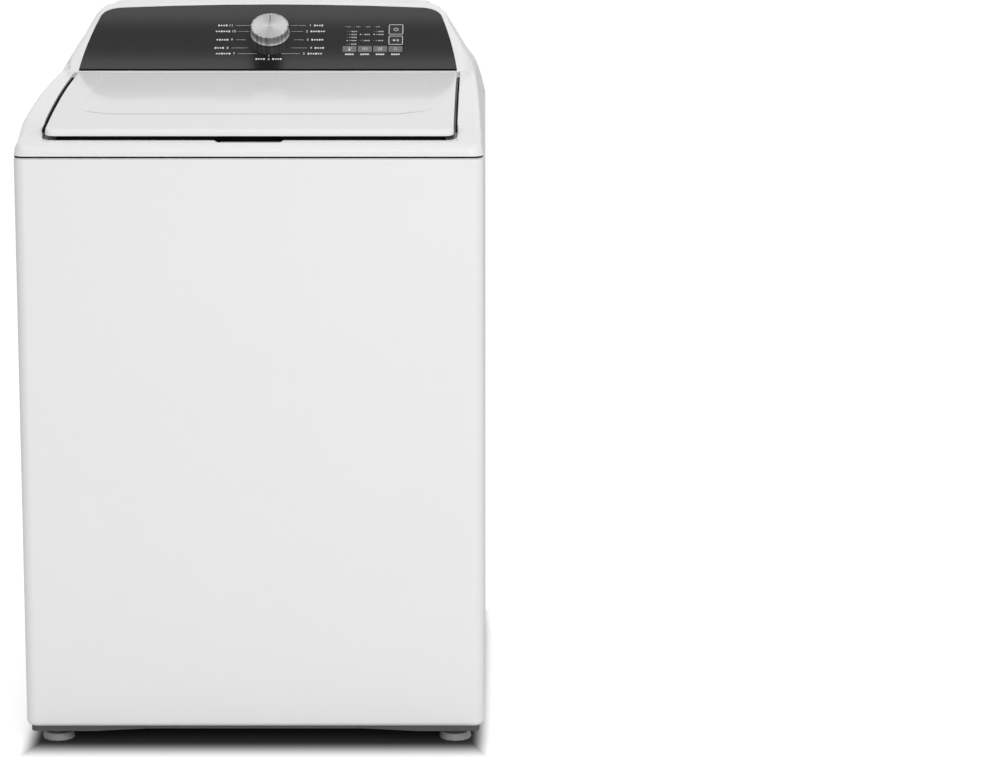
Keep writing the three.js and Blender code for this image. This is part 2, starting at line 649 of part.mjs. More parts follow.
/** Plan of the mouth: round about the basket, cut straight behind. */
function mouthPlan(grow) {
  const straight = POCKET_REAR - MOUTH_REAR_LAND - AXIS_Y + grow;
  const radius = MOUTH_R + grow;
  const angle = Math.asin(straight / radius);
  const outline = new THREE.Shape();
  outline.absarc(0, AXIS_Y, radius, Math.PI - angle, Math.PI * 2 + angle, false);
  outline.closePath();
  return outline;
}
const collarLow = COVER_BOTTOM - COLLAR_DROP;
const mouth = solid(prism(mouthPlan(0), collarLow - 1, HEIGHT, 14));
const collar = cut(solid(prism(mouthPlan(COVER_WALL), collarLow, COVER_BOTTOM + 30, 14)), pocket);

// a low rim all round that sits on the cabinet's top flange
const restingRim = solid(sheetAlong(cabinetPath, [
  [-COVER_WALL / 2, COVER_BOTTOM + 5],
  [-FLANGE + 1, COVER_BOTTOM + 5],
  [-FLANGE + 1, SEAM + GAP],
  [-SEAM_DEPTH, SEAM + GAP],
  [-SEAM_DEPTH, COVER_BOTTOM],
  [-COVER_WALL / 2, COVER_BOTTOM],
]));

// the finger scoop in the middle of the front rim
const scoop = solid(loft([
  [SCOOP_HALF, -1], [SCOOP_HALF - SCOOP_SLANT, SCOOP_DEPTH],
].map(([half, depth]) => [
  new THREE.Vector3(-half, POCKET_FRONT - SCOOP_REACH + depth, RIM_TOP - depth),
  new THREE.Vector3(half, POCKET_FRONT - SCOOP_REACH + depth, RIM_TOP - depth),
  new THREE.Vector3(half, POCKET_FRONT + 3, RIM_TOP - depth),
  new THREE.Vector3(-half, POCKET_FRONT + 3, RIM_TOP - depth),
])));

// ---------------------------------------------------------------- places on the console's slope
/** Lays a geometry made on the level onto the fascia's plane: X across, Y up the slope, Z out of it. */
const onSlope = (geometry) => geometry.rotateX(TILT).translate(0, FASCIA_FOOT_Y, FASCIA_FOOT_Z);

/** The fascia's outline, grown by a margin. */
function fasciaPlan(grow) {
  const outline = new THREE.Shape();
  const sideHalf = fasciaHalf(FASCIA_SIDE_END) + grow;
  const crownEdge = sideHalf - FASCIA_CORNER_R * 1.45;
  const crownFoot = FASCIA_SLOPE - FASCIA_CROWN;
  outline.moveTo(-FASCIA_FOOT_HALF - grow, -grow);
  outline.lineTo(FASCIA_FOOT_HALF + grow, -grow);
  outline.quadraticCurveTo(FASCIA_FOOT_HALF - FASCIA_TAPER * FASCIA_SIDE_END / 2 + grow, FASCIA_SIDE_END / 2,
    sideHalf, FASCIA_SIDE_END);
  outline.quadraticCurveTo(sideHalf - 5, crownFoot - 1 + grow, crownEdge, crownFoot + grow);
  outline.quadraticCurveTo(0, FASCIA_SLOPE + FASCIA_CROWN + grow, -crownEdge, crownFoot + grow);
  outline.quadraticCurveTo(-sideHalf + 5, crownFoot - 1 + grow, -sideHalf, FASCIA_SIDE_END);
  outline.quadraticCurveTo(-FASCIA_FOOT_HALF + FASCIA_TAPER * FASCIA_SIDE_END / 2 - grow, FASCIA_SIDE_END / 2,
    -FASCIA_FOOT_HALF - grow, -grow);
  return outline;
}
const fasciaSeat = -FASCIA_THICK - GAP;
const FASCIA_ARC = 6; // steps along each curve of the fascia's outline
const fasciaPocket = solid(onSlope(prism(fasciaPlan(GAP), fasciaSeat, 30, FASCIA_ARC)));
const fasciaWindow = solid(onSlope(prism(fasciaPlan(-FASCIA_LEDGE), -60, 30)));
const fasciaLedge = solid(onSlope(prism(fasciaPlan(4), fasciaSeat - COVER_WALL, fasciaSeat + 1)));

// the open back of the console
const rearWindow = solid(along([
  [-SIDE + 50, COVER_BOTTOM + 6], [SIDE - 50, COVER_BOTTOM + 6],
  [consoleHalf(HEIGHT - 20) - 22, HEIGHT - 30], [-consoleHalf(HEIGHT - 20) + 22, HEIGHT - 30],
], COVER_REAR - 9, COVER_REAR + 1));

// bores for the lid's pins, a slot for its strike, a seat for the bleach cup, a gate for the nozzle
const pinTool = (radius) => solid(new THREE.CylinderGeometry(radius, radius, 2 * SIDE, 16)
  .rotateZ(Math.PI / 2).translate(0, HINGE_Y, HINGE_Z));
const pinBores = pinTool(PIN_R + GAP).intersect(solid(block(-POCKET_HALF - 6, POCKET_HALF + 6, -DEPTH, DEPTH, 0, HEIGHT)));
const STRIKE_AT = [LATCH_X, FRONT + LATCH_BACK];
const CUP_AT = [-LATCH_X, FRONT + LATCH_BACK + 4];
const strikeSlot = solid(block(STRIKE_AT[0] - 6, STRIKE_AT[0] + 6, STRIKE_AT[1] - 15, STRIKE_AT[1] + 15,
  COVER_BOTTOM - 5, HEIGHT));
const cupSeat = solid(prism(roundedRect(CUP_AT[0] - CUP_HALF[0], CUP_AT[0] + CUP_HALF[0],
  CUP_AT[1] - CUP_HALF[1], CUP_AT[1] + CUP_HALF[1], 10), COVER_BOTTOM - 5, HEIGHT));
const nozzleGate = solid(block(-NOZZLE_HALF - 1, NOZZLE_HALF + 1, POCKET_REAR - MOUTH_REAR_LAND - 8,
  POCKET_REAR - MOUTH_REAR_LAND + 8, collarLow - 1, collarLow + NOZZLE_H + 2));

const coverShell = joined(
  cut(coverForm, hollow, rearWindow),
  pocketLining.intersect(coverForm),
  collar,
  restingRim,
  fasciaLedge.intersect(coverForm),
);
piece('top_cover', shell(cut(coverShell, pocket, mouth, scoop, fasciaPocket, fasciaWindow,
  pinBores, strikeSlot, cupSeat, nozzleGate)), WHITE_PAINT);

// ---------------------------------------------------------------- console
piece('console_back', shell(cut(
  solid(along([
    [-SIDE + 44, COVER_BOTTOM + 1], [SIDE - 44, COVER_BOTTOM + 1],
    [consoleHalf(HEIGHT - 20) - 12, HEIGHT - 24], [-consoleHalf(HEIGHT - 20) + 12, HEIGHT - 24],
  ], COVER_REAR + GAP, COVER_REAR + GAP + SHEET)),
  ...[-1, 1].map((side) => solid(throughRear([VALVE_X + side * VALVE_PITCH / 2, VALVE_Z], PORT_R + GAP))),
)), WHITE_PAINT);

const controls = [
  ['power_button', PAD_X + 3 * PAD_PITCH, POWER_V, POWER_SIZE],
  ['start_button', PAD_X + 3 * PAD_PITCH, START_V, START_SIZE],
  ['temperature_button', PAD_X, PAD_V, PAD_SIZE],
  ['rinse_button', PAD_X + PAD_PITCH, PAD_V, PAD_SIZE],
  ['options_button', PAD_X + 2 * PAD_PITCH, PAD_V, PAD_SIZE],
  ['faucet_button', PAD_X + 3 * PAD_PITCH, PAD_V, PAD_SIZE],
];
const keyPlan = ([u, v], [width, height], grow) => roundedRect(
  u - width / 2 - grow, u + width / 2 + grow, v - height / 2 - grow, v + height / 2 + grow, 1.2 + grow);
const shaftHole = solid(new THREE.CylinderGeometry(ENCODER_SHAFT_R + GAP, ENCODER_SHAFT_R + GAP, 40, 16)
  .rotateX(Math.PI / 2).translate(KNOB_X, KNOB_V, 0));
piece('fascia', onSlope(shell(cut(
  solid(prism(fasciaPlan(0), -FASCIA_THICK, 0, FASCIA_ARC)),
  shaftHole,
  ...controls.map(([, u, v, size]) => solid(prism(keyPlan([u, v], size, BUTTON_CLEAR), -10, 10, 2))),
))), BLACK_GLOSS);
for (const [name, u, v, size] of controls) {
  const cap = solid(prism(keyPlan([u, v], size, 0), BUTTON_FOOT, BUTTON_PROUD, 2));
  piece(name, onSlope(shell(cap)), name === 'power_button' || name === 'start_button' ? BLACK_GLOSS : GREY_KEY);
}

// the board carries the key switches and the cycle selector's encoder
const boardLow = BUTTON_FOOT - BUTTON_TRAVEL - 4;
const boardSpan = [KNOB_X - 20, PAD_X + 3 * PAD_PITCH + 24, PAD_V - 20, POWER_V + 24];
const standoffs = [[0, 2], [1, 2], [0, 3], [1, 3]].map(([i, j]) => solid(block(
  boardSpan[i] + (i ? -8 : 2), boardSpan[i] + (i ? -2 : 8),
  boardSpan[j] + (j === 3 ? -8 : 2), boardSpan[j] + (j === 3 ? -2 : 8), boardLow - 1, fasciaSeat)));
const switches = controls.map(([, u, v]) => solid(block(u - 3, u + 3, v - 3, v + 3, boardLow - 1,
  BUTTON_FOOT - BUTTON_TRAVEL - GAP)));
piece('control_board', onSlope(shell(joined(
  solid(block(boardSpan[0], boardSpan[1], boardSpan[2], boardSpan[3], boardLow - 1.6, boardLow)),
  ...standoffs, ...switches,
  solid(block(KNOB_X - 7, KNOB_X + 7, KNOB_V - 7, KNOB_V + 7, boardLow - 1, fasciaSeat)),
  solid(post(KNOB_X, KNOB_V, ENCODER_SHAFT_R, fasciaSeat - 2, KNOB_LIFT + KNOB_HEIGHT - 6, 16)),
))), BOARD);

const knobTop = KNOB_LIFT + KNOB_HEIGHT;
const knobBody = turned([
  [ENCODER_SHAFT_R + GAP, KNOB_LIFT], [KNOB_BASE_R, KNOB_LIFT], [KNOB_BASE_R, KNOB_LIFT + 2],
  [KNOB_FACE_R + 0.3, KNOB_LIFT + 4.5], [KNOB_FACE_R, knobTop - 1.2], [KNOB_FACE_R - 1.2, knobTop],
  [0, knobTop], [0, knobTop - 6 + GAP], [ENCODER_SHAFT_R + GAP, knobTop - 6 + GAP],
], KNOB_X, KNOB_V, 32);
const pointer = block(KNOB_X - 0.6, KNOB_X + 0.6, KNOB_V + 10, KNOB_V + KNOB_FACE_R - 3, knobTop - 0.6, knobTop + 1);
piece('cycle_knob', onSlope(shell(cut(solid(knobBody), solid(pointer)))), BRUSHED);

// ---------------------------------------------------------------- lid
/** Height of the lid's top. */
function lidTop(y) {
  const left = Math.max(0, 1 - (y - FRONT) / FALL_RUN);
  return stripHeight(y) + LID_PROUD * left * left;
}
const LID_NOSE = 5;
function lidSection(y, tail = 0) {
  const back = y - LID_FRONT;
  const half = roundCorner(LID_HALF, back, LID_CORNER_R) - tail;
  const low = lidTop(y) - LID_SKIRT + tail;
  const top = low + 4 + (LID_SKIRT - 4) * bullnose(back, LID_NOSE) - 2 * tail;
  return standing(rounded([
    [half, low], [half, top - 0.4, 4], [half * 0.5, top], [0, top],
  ], 2), y);
}
const lidDepths = [0, 0.4, 1.6, 3, LID_NOSE, 9, LID_CORNER_R, LID_FIELD_BACK, 150, 230, 320, LID_LENGTH - 9, LID_LENGTH - 3];
const lidForm = solid(loft([...lidDepths.map((d) => lidSection(LID_FRONT + d)), lidSection(LID_REAR, 1.5)]));
const lidCentre = (LID_FRONT + LID_REAR) / 2;
const lidHollow = lidForm
  .translate([0, -lidCentre, 0])
  .scale([shrink(2 * LID_HALF, LID_SKIN), shrink(LID_LENGTH, LID_SKIN), 1])
  .translate([0, lidCentre, -LID_SKIN]);
const lidField = cut(
  solid(prism(roundedRect(-LID_FIELD_HALF, LID_FIELD_HALF, LID_FRONT + LID_FIELD_BACK, LID_REAR + 5, 44, 4),
    SEAM, HEIGHT)),
  lidForm.translate([0, 0, -LID_FIELD_DEPTH]),
  solid(block(-SIDE, SIDE, FRONT, REAR, SEAM - 1, lidTop(LID_FRONT + LID_FIELD_BACK) - 4)),
);
piece('lid', shell(cut(lidForm, lidHollow, lidField, pinTool(PIN_R + GAP))), WHITE_PAINT);

// the moulded inner panel of the lid, with two shallow pressings
const LINER_INSET = 6;
const linerBand = solid(across([
  ...lidDepths.slice(5).map((d) => [LID_FRONT + d, lidTop(LID_FRONT + d) - LID_SKIN - 3 * GAP]),
  ...lidDepths.slice(5).toReversed().map((d) => [LID_FRONT + d, lidTop(LID_FRONT + d) - LID_SKIRT + 1]),
], -LID_HALF, LID_HALF));
const linerPlan = roundedRect(-LID_HALF + LINER_INSET, LID_HALF - LINER_INSET,
  LID_FRONT + LINER_INSET + 4, LID_REAR - 34, 12, 4);
const pressings = [-1, 1].map((side) => solid(prism(roundedRect(
  Math.min(side * 14, side * (LID_HALF - 40)), Math.max(side * 14, side * (LID_HALF - 40)),
  LID_FRONT + 70, LID_REAR - 70, 30), SEAM, HEIGHT)));
const pressingBand = solid(across([
  ...lidDepths.slice(5).map((d) => [LID_FRONT + d, lidTop(LID_FRONT + d) - LID_SKIRT + 4]),
  ...lidDepths.slice(5).toReversed().map((d) => [LID_FRONT + d, lidTop(LID_FRONT + d) - LID_SKIRT - 5]),
], -LID_HALF, LID_HALF));
// its strike reaches down through the deck into the lock
const strikeLow = deckHeight(STRIKE_AT[1]) - 16;
const strike = cut(
  solid(block(STRIKE_AT[0] - 2, STRIKE_AT[0] + 2, STRIKE_AT[1] - 9, STRIKE_AT[1] + 9,
    strikeLow, lidTop(STRIKE_AT[1]) - LID_SKIRT + 4)),
  solid(block(STRIKE_AT[0] - 5, STRIKE_AT[0] + 5, STRIKE_AT[1] - 5, STRIKE_AT[1] + 5, strikeLow + 3, strikeLow + 10)),
);
piece('lid_liner', shell(joined(cut(
  solid(prism(linerPlan, SEAM, HEIGHT)).intersect(linerBand),
  ...pressings.map((tool) => tool.intersect(pressingBand)),
), strike)), WHITE_PLASTIC);

for (const [side, sign] of [['left', -1], ['right', 1]]) {
  const bracket = across([
    [HINGE_Y - 24, HINGE_Z + 3], [HINGE_Y - 24, HINGE_Z], [HINGE_Y - 4, HINGE_Z - 3.6],
    [HINGE_Y + 3, HINGE_Z - 3.6], [HINGE_Y + 4, HINGE_Z + 3.3],
  ], Math.min(sign * (LID_HALF - 22), sign * (LID_HALF - 5)), Math.max(sign * (LID_HALF - 22), sign * (LID_HALF - 5)));
  const pin = new THREE.CylinderGeometry(PIN_R, PIN_R, POCKET_HALF + COVER_WALL + 1 - (LID_HALF - 8), 12)
    .rotateZ(Math.PI / 2).translate(sign * (POCKET_HALF + COVER_WALL + 1 + LID_HALF - 8) / 2, HINGE_Y, HINGE_Z);
  piece(`lid_hinge_${side}`, shell(joined(solid(bracket), solid(pin))), STEEL);
}
// lid lock: a housing under the deck with a slot for the strike and a channel for its bolt
const lockTop = deckHeight(STRIKE_AT[1] - 18) - COVER_WALL - GAP;
const lockLow = strikeLow - 4;
piece('lid_lock', shell(cut(
  solid(block(STRIKE_AT[0] - 14, STRIKE_AT[0] + 34, STRIKE_AT[1] - 18, STRIKE_AT[1] + 18, lockLow, lockTop)),
  solid(block(STRIKE_AT[0] - 5, STRIKE_AT[0] + 5, STRIKE_AT[1] - 14, STRIKE_AT[1] + 14, lockLow + 2, lockTop + 1)),
  solid(block(STRIKE_AT[0] - 11, STRIKE_AT[0] + 35, STRIKE_AT[1] - 4.3, STRIKE_AT[1] + 4.3,
    strikeLow + 3.7, strikeLow + 9.3)),
)), DARK_PLASTIC);
piece('lock_bolt', block(STRIKE_AT[0] + 5, STRIKE_AT[0] + 30, STRIKE_AT[1] - 4, STRIKE_AT[1] + 4,
  strikeLow + 4, strikeLow + 9), WHITE_PLASTIC);

// bleach cup and fill nozzle
const cupRim = (drop) => deckHeight(CUP_AT[1]) + drop;
const cupPlan = (grow) => roundedRect(CUP_AT[0] - CUP_HALF[0] - grow, CUP_AT[0] + CUP_HALF[0] + grow,
  CUP_AT[1] - CUP_HALF[1] - grow, CUP_AT[1] + CUP_HALF[1] + grow, 10 + grow);
const cupLow = collarLow - 4;
piece('bleach_dispenser', shell(cut(
  joined(
    solid(prism(cupPlan(-GAP), cupLow, cupRim(CUP_FLANGE_RISE + 1), 4)),
    solid(prism(cupPlan(4), cupRim(CUP_FLANGE_RISE), cupRim(CUP_FLANGE_RISE + 1), 4)),
  ),
  solid(prism(cupPlan(-GAP - 2), cupLow + 2, HEIGHT, 4)),
)), WHITE_PLASTIC);

const nozzleBack = POCKET_REAR + 30;
const nozzleFront = POCKET_REAR - MOUTH_REAR_LAND - 22;
const ductEnd = [VALVE_X - 44 - GAP, COVER_REAR - 22, VALVE_Z - 8];
const duct = solid(tube([
  ductEnd, [ductEnd[0] - 8, ductEnd[1], ductEnd[2]], [VALVE_X - 90, COVER_REAR - 26, VALVE_Z - 14],
  [40, COVER_REAR - 80, collarLow + 9], [0, nozzleBack + 50, collarLow + 7.5], [0, nozzleBack - 5, collarLow + 7],
], 6.5, 14));
piece('fill_nozzle', shell(joined(cut(
  solid(across([
    [nozzleFront, collarLow + 4], [nozzleFront + 10, collarLow], [nozzleBack, collarLow],
    [nozzleBack, collarLow + NOZZLE_H], [nozzleFront + 12, collarLow + NOZZLE_H], [nozzleFront, collarLow + 10],
  ], -NOZZLE_HALF, NOZZLE_HALF)),
  solid(block(-NOZZLE_HALF + 4, NOZZLE_HALF - 4, nozzleFront - 1, nozzleBack - 14, collarLow + 3, collarLow + 8.5)),
), duct)), TUB_PLASTIC);

// ---------------------------------------------------------------- wash unit
const HUB_R = BEARING_R + 9;
const EAR_HALF = 26;
const EAR_Z = TUB_FLOOR + 92;
const EAR_THICK = 14;
const hubLow = TUB_FLOOR - 44;
const tubBarrel = turned([
  [BEARING_R + GAP, hubLow], [HUB_R, hubLow], [HUB_R, TUB_FLOOR - 3], [TUB_R - 46, TUB_FLOOR],
  [TUB_R - 14, TUB_FLOOR + 12], [TUB_R, TUB_FLOOR + 44], [TUB_R, TUB_TOP],
  [TUB_R - TUB_WALL, TUB_TOP], [TUB_R - TUB_WALL, TUB_FLOOR + 45], [TUB_R - 16, TUB_FLOOR + 15],
  [TUB_R - 47, TUB_FLOOR + TUB_WALL], [HUB_R + 12, TUB_FLOOR + TUB_WALL], [HUB_R - 6, TUB_FLOOR + 28],
  [BEARING_R + GAP, TUB_FLOOR + 28],
], 0, AXIS_Y, 32);
const bearingLowZ = hubLow + 2;
const bearingHighZ = TUB_FLOOR + 28 - BEARING_H - 2;
/** An ear from the tub wall to a suspension rod. */
function ear(x, y) {
  const reach = Math.hypot(x, y - AXIS_Y);
  const arm = along([
    [TUB_R - 1.5, EAR_Z - 30], [reach - 6, EAR_Z - EAR_THICK], [reach + EAR_HALF - 4, EAR_Z - EAR_THICK],
    [reach + EAR_HALF - 4, EAR_Z], [TUB_R - 1.5, EAR_Z + 26],
  ], -EAR_HALF + 4, EAR_HALF - 4);
  return solid(arm.rotateZ(Math.atan2(y - AXIS_Y, x)).translate(0, AXIS_Y, 0));
}
const PUMP_AT = [-138, AXIS_Y - 112];
const bosses = [45, 135, 225, 315].map((deg) => {
  const angle = THREE.MathUtils.degToRad(deg);
  return solid(post(BOSS_REACH * Math.cos(angle), AXIS_Y + BOSS_REACH * Math.sin(angle), 9,
    PLATE_Z + PLATE_THICK + GAP, TUB_FLOOR + 1, 8));
});
const sumpSpigot = solid(post(PUMP_AT[0], PUMP_AT[1], 17, TUB_FLOOR - 24, TUB_FLOOR + 1, 14));
const sumpBore = solid(post(PUMP_AT[0], PUMP_AT[1], 13.5, TUB_FLOOR - 30, TUB_FLOOR + 20, 14));
piece('outer_tub', shell(cut(
  joined(solid(tubBarrel), ...rodsAt.map(([, x, y]) => ear(x, y)), ...bosses, sumpSpigot),
  ...rodsAt.map(([, x, y]) => solid(post(x, y, ROD_R + 2.5, EAR_Z - 60, EAR_Z + 60, 10))),
  sumpBore,
)), TUB_PLASTIC);

piece('tub_ring', turned([
  [TUB_R + GAP, TUB_TOP - 12], [TUB_R + 3.5, TUB_TOP - 12], [TUB_R + 3.5, TUB_TOP + 16],
  [TUB_R - 14, TUB_TOP + 26], [TUB_R - 44, TUB_TOP + 30], [TUB_R - 46, TUB_TOP + 20],
  [TUB_R - 43, TUB_TOP + 20], [TUB_R - 42, TUB_TOP + 27], [TUB_R - 15, TUB_TOP + 23],
  [TUB_R + GAP, TUB_TOP + 14],
], 0, AXIS_Y, 32), WHITE_PLASTIC);

// bearings and seal in the tub's hub
for (const [name, z] of [['lower_bearing', bearingLowZ], ['upper_bearing', bearingHighZ]]) {
  piece(name, ring(TUBE_R + GAP, BEARING_R, z, z + BEARING_H, 0, AXIS_Y, 20), STEEL);
}
const sealZ = TUB_FLOOR + 28 + GAP;
piece('tub_seal', ring(TUBE_R + GAP, BEARING_R - 2, sealZ, sealZ + 7, 0, AXIS_Y, 20), RUBBER);

// basket: pressed stainless drum with rows of drain holes, a plastic balance ring and a hub on the spin tube
const basketTop = TUB_TOP - RING_HEIGHT;
const basketWall = turned([
  [HUB_BORE_EDGE, BASKET_FLOOR], [BASKET_R - 30, BASKET_FLOOR], [BASKET_R - 8, BASKET_FLOOR + 8],
  [BASKET_R, BASKET_FLOOR + 30], [BASKET_R, basketTop], [BASKET_R - BASKET_SHEET, basketTop],
  [BASKET_R - BASKET_SHEET, BASKET_FLOOR + 30.5], [BASKET_R - 9, BASKET_FLOOR + 9],
  [BASKET_R - 30.5, BASKET_FLOOR + BASKET_SHEET], [HUB_BORE_EDGE, BASKET_FLOOR + BASKET_SHEET],
], 0, AXIS_Y, 32);
piece('basket', basketWall, STAINLESS);
piece('balance_ring', turned([
  [BASKET_R + 3, basketTop - 14], [BASKET_R + GAP, basketTop - 14], [BASKET_R + GAP, basketTop + GAP],
  [BASKET_R - 27, basketTop + GAP], [BASKET_R - 31, basketTop + 6], [BASKET_R - 31, TUB_TOP - 6],
  [BASKET_R - 26, TUB_TOP], [BASKET_R - 4, TUB_TOP], [BASKET_R + 3, TUB_TOP - 8],
], 0, AXIS_Y, 32), WHITE_PLASTIC);
const hubTop = BASKET_FLOOR + BASKET_SHEET + GAP + 8;
// agitator: a wash plate with straight ribs, a removable post with curved fins, and a cap
const plateFoot = hubTop + 6;
const washPlate = joined(
  solid(turned([
    [POST_R - 14, plateFoot + 10], [POST_R + 20, plateFoot + 4], [PLATE_R - 20, plateFoot], [PLATE_R, plateFoot + 10],
    [PLATE_R - 1, plateFoot + 15], [PLATE_R - 22, plateFoot + 6], [POST_R + 40, plateFoot + 16],
    [POST_R + 14, plateFoot + 34], [SHAFT_R + GAP, plateFoot + 38], [SHAFT_R + GAP, plateFoot + 12],
  ], 0, AXIS_Y, 32)),
  ...Array.from({ length: PLATE_RIBS }, (_, i) => {
    const rib = along([
      [POST_R - 10, plateFoot + 20], [PLATE_R - 26, plateFoot + 5], [PLATE_R - 14, plateFoot + 22],
      [PLATE_R - 60, plateFoot + 34], [POST_R + 30, plateFoot + 37], [POST_R - 10, plateFoot + 37],
    ], -5, 5);
    return solid(rib.rotateZ((i * 2 * Math.PI) / PLATE_RIBS).translate(0, AXIS_Y, 0));
  }),
);
piece('wash_plate', shell(washPlate), WHITE_PLASTIC);

const postFoot = plateFoot + 38 + GAP;
const postProfile = (z) => POST_R * (0.72 + 0.28 * ((CAP_TOP - z) / (CAP_TOP - postFoot)) ** 1.6);
const postLevels = Array.from({ length: 6 }, (_, i) => postFoot + ((CAP_TOP - 26 - postFoot) * i) / 5);
const postBody = solid(turned([
  [SHAFT_R + 1, postFoot], ...postLevels.map((z) => [postProfile(z), z]),
  [SHAFT_R + 1, CAP_TOP - 26],
], 0, AXIS_Y, 20));
/** One fin: a blade that leans round the post as it climbs and narrows towards the top. */
function fin(index) {
  const start = (index * 2 * Math.PI) / POST_FINS;
  const rings = Array.from({ length: 8 }, (_, i) => {
    const t = i / 7;
    const z = postFoot + t * (CAP_TOP - 70 - postFoot);
    const reach = postProfile(z) + FIN_REACH * (1 - t) ** 0.8 + 5;
    const angle = start + FIN_SWEEP * t * t;
    const [across0, along0] = [new THREE.Vector3(-Math.sin(angle), Math.cos(angle), 0),
      new THREE.Vector3(Math.cos(angle), Math.sin(angle), 0)];
    const corner = (radius, half) => along0.clone().multiplyScalar(radius)
      .addScaledVector(across0, half).add(new THREE.Vector3(0, AXIS_Y, z));
    const root = postProfile(z) - 5;
    return [corner(root, -4), corner(reach - 3, -2.4), corner(reach, 0), corner(reach - 3, 2.4), corner(root, 4)];
  });
  return solid(loft(rings));
}
piece('agitator_post', shell(joined(postBody, ...Array.from({ length: POST_FINS }, (_, i) => fin(i)))), WHITE_PLASTIC);
piece('agitator_cap', turned([
  [0, CAP_TOP], [postProfile(CAP_TOP) - 7, CAP_TOP - 1.5], [postProfile(CAP_TOP) + 1, CAP_TOP - 8],
  [postProfile(CAP_TOP) + 2, CAP_TOP - 26 + GAP], [0, CAP_TOP - 26 + GAP],
], 0, AXIS_Y, 20), DARK_PLASTIC);

// shafts: the agitator's runs inside the basket's
piece('drive_shaft', post(0, AXIS_Y, SHAFT_R, CASE_Z + CASE_H + GAP, postFoot + 40, 24), STEEL);
piece('basket_drive_hub', shell(joined(
  solid(ring(SHAFT_R + 1, TUBE_R, CASE_Z + CASE_H + 2, hubTop - 2, 0, AXIS_Y, 20)),
  solid(ring(TUBE_R - 1, HUB_BORE_EDGE - GAP, sealZ + 8, hubTop, 0, AXIS_Y, 20)),
  solid(ring(TUBE_R + 8, HUB_FLANGE_R, BASKET_FLOOR + BASKET_SHEET + GAP, hubTop, 0, AXIS_Y, 20)),
)), CAST);
const collarZ = CASE_Z + CASE_H + 4;
piece('clutch_collar', turned([
  [TUBE_R + GAP, collarZ], [TUBE_R + 12, collarZ], [TUBE_R + 12, collarZ + 5], [TUBE_R + 8, collarZ + 6],
  [TUBE_R + 8, collarZ + 10], [TUBE_R + 12, collarZ + 11], [TUBE_R + 12, collarZ + 16], [TUBE_R + GAP, collarZ + 16],
], 0, AXIS_Y, 20), STEEL);

// ---------------------------------------------------------------- drive
const MOTOR_X = MOTOR_AT[0];
const MOTOR_Y = AXIS_Y - MOTOR_AT[1];
const platePlan = new THREE.Shape();
platePlan.absarc(0, AXIS_Y, BOSS_REACH + 16, Math.PI * 0.12, Math.PI * 1.72, false);
platePlan.absarc(MOTOR_X, MOTOR_Y, MOTOR_R + 8, Math.PI * 1.62, Math.PI * 2.3, false);
platePlan.closePath();
piece('drive_plate', shell(cut(
  solid(prism(platePlan, PLATE_Z, PLATE_Z + PLATE_THICK, 12)),
  solid(post(0, AXIS_Y, HUB_R + 4, PLATE_Z - 5, PLATE_Z + 10, 32)),
  solid(post(MOTOR_X, MOTOR_Y, 16, PLATE_Z - 5, PLATE_Z + 10, 24)),
)), STEEL);
piece('gearcase', shell(joined(
  solid(turned([
    [0, CASE_Z], [CASE_R - 10, CASE_Z], [CASE_R, CASE_Z + 10], [CASE_R, CASE_Z + CASE_H - 12],
    [CASE_R - 14, CASE_Z + CASE_H], [0, CASE_Z + CASE_H],
  ], 0, AXIS_Y, 20)),
  ...[30, 150, 270].map((deg) => {
    const angle = THREE.MathUtils.degToRad(deg);
    return solid(post((CASE_R - 4) * Math.cos(angle), AXIS_Y + (CASE_R - 4) * Math.sin(angle), 8,
      CASE_Z + 12, PLATE_Z - GAP, 12));
  }),
)), CAST);

const pulleyTop = CASE_Z - GAP;
/** A flat-belt pulley with a raised rim at each edge and a web with lightening holes. */
function pulley(x, y, radius, boreR, webHoles) {
  const low = pulleyTop - PULLEY_H;
  const body = solid(turned([
    [boreR, low + 4], [boreR + 9, low + 8], [radius - 7, low + 8], [radius - 7, low],
    [radius + 2, low], [radius, low + 3.5], [radius, low + PULLEY_H - 5.5],
    [radius + 2, low + PULLEY_H - 2], [radius - 7, low + PULLEY_H - 2],
    [radius - 7, low + 12], [boreR + 9, low + 12], [boreR, low + PULLEY_H - 1],
  ], x, y, radius > 50 ? 24 : 14));
  const holes = Array.from({ length: webHoles }, (_, i) => {
    const angle = (i * 2 * Math.PI) / webHoles;
    const reach = (radius + boreR) / 2;
    return solid(post(x + reach * Math.cos(angle), y + reach * Math.sin(angle), radius * 0.17, low - 5, low + 30, 8));
  });
  return shell(cut(body, ...holes));
}
piece('drive_pulley', shell(joined(
  solid(pulley(0, AXIS_Y, PULLEY_R, SHAFT_R - 1, 6)),
  solid(post(0, AXIS_Y, SHAFT_R, pulleyTop - PULLEY_H, pulleyTop, 24)),
)), CAST);
piece('motor_pulley', shell(joined(
  solid(pulley(MOTOR_X, MOTOR_Y, MOTOR_PULLEY_R, MOTOR_SHAFT_R - 1, 0)),
  solid(post(MOTOR_X, MOTOR_Y, MOTOR_SHAFT_R, pulleyTop - PULLEY_H, pulleyTop, 16)),
)), CAST);

